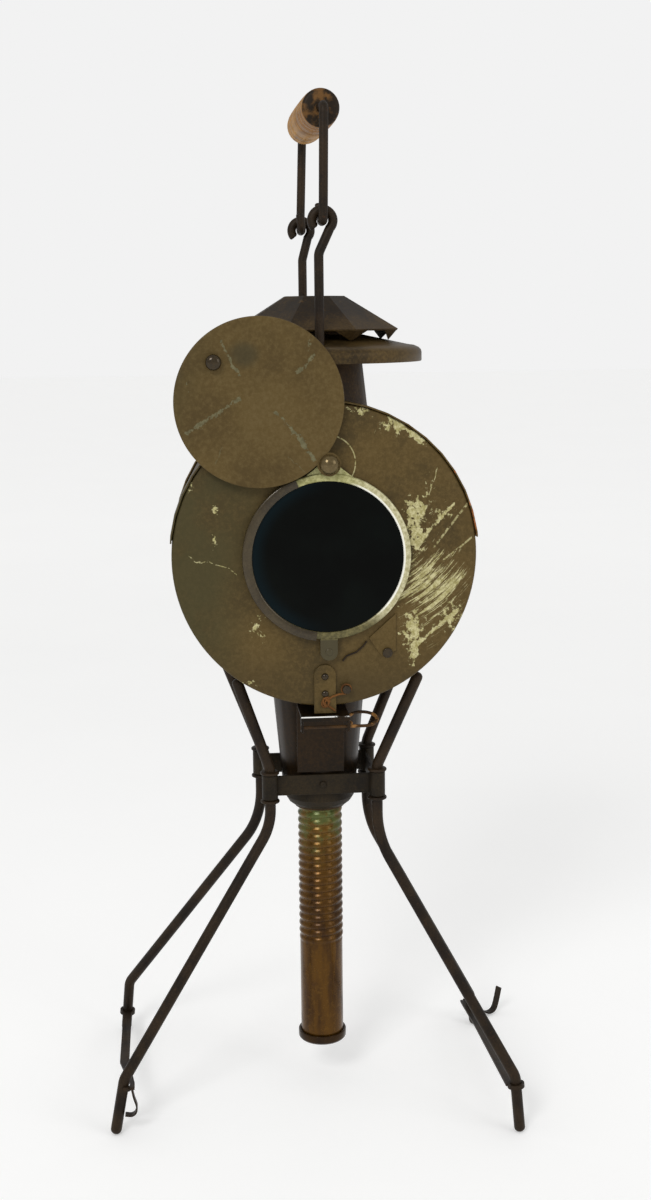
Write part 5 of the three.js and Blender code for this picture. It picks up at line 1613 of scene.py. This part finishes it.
@dataclass(frozen=True)
class LegShape:
    """How one leg stands: its sides, its swivel, and its shares of the stand's sizes, as bent by hand."""

    name: str
    x: int
    y: int
    swivel: float
    barrel: float
    arm_reach: float
    arm_rise: float
    fork: float
    fork_bend: float
    knee_reach: float
    knee_height: float
    foot_reach: float


# Each row: name, side across, side in depth, swivel in degrees, and the shares in the fields' order
LEGS = (
    LegShape("front_left", -1, -1, 18.9, 0.986, 0.767, 1.048, 1.056, 0.67, 1.043, 0.985, 1.074),
    LegShape("front_right", 1, -1, 36.2, 1, 1.067, 1.097, 1, 1, 1, 1, 1),
    LegShape("rear_left", -1, 1, 28.6, 1.075, 0.9, 0.968, 0.983, 1.07, 1.1, 1.039, 1.1),
    LegShape("rear_right", 1, 1, 22.7, 1, 0.933, 0.935, 0.968, 1.25, 0.864, 0.644, 0.872),
)


@dataclass
class Stand:
    """The four legs and the two spreaders between their feet."""

    legs: tuple[LegShape, ...] = LEGS
    wire: float = 3.75
    barrel: Flat = (37.0, 31.0)
    hook_z: float = 241.0
    arm: Flat = (30.0, 62.0)
    fork_z: float = 190.0
    knee: Flat = (105.0, 38.8)
    foot_reach: float = 109.0
    bends: tuple[float, float, float] = (14.0, 56.0, 12.0)
    beads: Flat = (217.25, 237.15)
    # A bead's outline: radius and height above its foot
    bead_line: tuple[Flat, ...] = (
        (0.0, 0.0), (5.6, 0.0), (6.3, 0.4), (6.5, 1.1), (6.3, 1.8), (5.6, 2.2), (0.0, 2.2),
    )

    def corners(self, leg: LegShape) -> list[Vector]:
        """The places where a leg's straight runs meet, from its hook to its foot.

        Args:
            leg: How the leg stands.

        Returns:
            The places.
        """
        turn = math.radians(leg.swivel)
        heading = Vector((leg.x * math.cos(turn), leg.y * math.sin(turn), 0))
        root = Vector((leg.x * self.barrel[0] * leg.barrel, leg.y * self.barrel[1], 0))
        foot = self.foot_reach * leg.foot_reach
        knee = (self.knee[0] * leg.knee_reach, self.knee[1] * leg.knee_height)
        slope = (foot - knee[0]) / knee[1]
        lift = self.wire * slope
        line = [
            (self.arm[0] * leg.arm_reach, self.hook_z + self.arm[1] * leg.arm_rise), (0.0, self.hook_z),
            (0.0, self.fork_z * leg.fork), knee, (foot - slope * lift, lift),
        ]
        return [root + heading * reach + Vector((0, 0, height)) for reach, height in line]

    def bend_leg(self, leg: LegShape) -> None:
        """Bend a leg and turn its two beads.

        Args:
            leg: How the leg stands.
        """
        corners = self.corners(leg)
        arm, fork, knee = self.bends
        path = bent(corners, [arm, fork * leg.fork_bend, knee], 12)
        form = Form().rod(path, self.wire, 20, 0.8)
        for low in self.beads:
            bead = [(radius, low + height) for radius, height in self.bead_line]
            form.turned(bead, Axis.Z, (corners[1].x, corners[1].y, 0), steps=40)
        form.finish(leg.name + "_leg", "leg_" + leg.name, BLACK_WIRE.material(), 0, 50)

    def build(self) -> None:
        """Make the stand."""
        for leg in self.legs:
            self.bend_leg(leg)
        for side in ("left", "right"):
            soften(side + "_spreader", "spreader_" + side, BLACK_WIRE.material(), 0.3)


@dataclass
class Studio:
    """A pale floor, soft light and the camera at the photograph's angle."""

    turn: float = 5.2
    pitch: float = math.degrees(math.atan(284 / 1552))
    roll: float = 0.62
    distance: float = 1050.0
    height: float = 543.0
    aside: float = 5.6
    lens: float = 46.56
    floor_side: float = 14.0
    soft: float = 0.62
    aim: tuple[float, float, float] = (0.0, 0.0, 0.35)

    def floor(self) -> None:
        """Lay the floor, which brightens with distance so that no horizon shows."""
        part = bmesh.new()
        bmesh.ops.create_grid(part, x_segments=8, y_segments=8, size=self.floor_side)
        mesh = bpy.data.meshes.new("floor_shape")
        part.to_mesh(mesh)
        part.free()
        floor = bpy.data.objects.new("floor", mesh)
        bpy.context.scene.collection.objects.link(floor)
        shader = Shader("pale_floor")
        px, py, _ = shader.parts()
        glow = shader.mix(shader.step(py, -0.9, 0.2), "626262", "8e8e8e")
        material = shader.done(
            Base_Color=shader.mix(shader.noise(3, 3), "ececeb", "f1f1f0"),
            Roughness=0.9,
            Specular_IOR_Level=0.1,
            Emission_Color=shader.mix(shader.step(px.with_leg(py), 0.5, 3.2), glow, "9e9e9e"),
            Emission_Strength=1.0,
        )
        mesh.materials.append(material)

    def lamp(self, name: str, place: Sequence[float], size: float, power: float) -> None:
        """Hang a soft square light that looks at the lamp house.

        Args:
            name: Its name.
            place: Where it is, in metres.
            size: Its side.
            power: Its power in watts.
        """
        data = bpy.data.lights.new(name, "AREA")
        data.size, data.energy = size, power
        light = bpy.data.objects.new(name, data)
        light.location = place
        light.rotation_mode = "QUATERNION"
        light.rotation_quaternion = (Vector(self.aim) - Vector(place)).to_track_quat("-Z", "Y")
        bpy.context.scene.collection.objects.link(light)

    def world(self) -> None:
        """A pale room that lights softly and shows white behind the lamp and through its lens."""
        world = bpy.data.worlds.new("studio")
        bpy.context.scene.world = world
        world.use_nodes = True
        tree = world.node_tree
        tree.nodes.clear()
        kinds = ("LightPath", "Math", "Background", "Background", "MixShader", "OutputWorld")
        ray, seen, soft, pale, mixed, out = (tree.nodes.new("ShaderNode" + kind) for kind in kinds)
        seen.operation = "ADD"
        seen.use_clamp = True
        soft.inputs[0].default_value, soft.inputs[1].default_value = (1, 1, 1, 1), self.soft
        pale.inputs[0].default_value, pale.inputs[1].default_value = tone("f2f2f2"), 1.0
        for slot, kind in enumerate(("Is Camera Ray", "Is Transmission Ray")):
            tree.links.new(ray.outputs[kind], seen.inputs[slot])
        for slot, source in enumerate((seen, soft, pale)):
            tree.links.new(source.outputs[0], mixed.inputs[slot])
        tree.links.new(mixed.outputs[0], out.inputs[0])

    def camera(self) -> None:
        """Stand the camera where the photograph was taken from."""
        a, p, r = math.radians(self.turn), math.radians(self.pitch), math.radians(self.roll)
        right = Vector((math.cos(a), -math.sin(a), 0))
        fwd = Vector((math.sin(a) * math.cos(p), math.cos(a) * math.cos(p), -math.sin(p)))
        up = right.cross(fwd)
        away = Vector((-self.distance * math.sin(a), -self.distance * math.cos(a), self.height))
        x, y = right * math.cos(r) - up * math.sin(r), up * math.cos(r) + right * math.sin(r)
        data = bpy.data.cameras.new("camera")
        data.lens, data.sensor_width, data.clip_start = self.lens, 36.0, 0.01
        camera = bpy.data.objects.new("camera", data)
        place = Matrix.Translation(TO_FRAME @ (away + right * self.aside))
        camera.matrix_world = place @ Matrix((x, y, -fwd)).transposed().to_4x4()
        bpy.context.scene.collection.objects.link(camera)
        bpy.context.scene.camera = camera

    def build(self) -> None:
        """Set the studio."""
        self.camera()
        self.floor()
        self.world()
        self.lamp("key", (-0.9, -1.7, 1.7), 0.7, 17.0)
        self.lamp("fill", (1.5, -1.2, 1.1), 1.0, 6.0)
        bpy.context.scene.view_settings.view_transform = "Standard"


def main() -> None:
    """Build the studio and the lamp, one sub-assembly after another."""
    logging.basicConfig(level=logging.INFO, format="%(message)s")
    kinds = (Studio, LampHouse, Door, SignalFilter, Cover, Chimney, Bail, Neck, CandleTube, Stand)
    for kind in kinds:
        LOG.info("building %s", kind.__name__)
        kind().build()


if __name__ == "__main__":
    main()
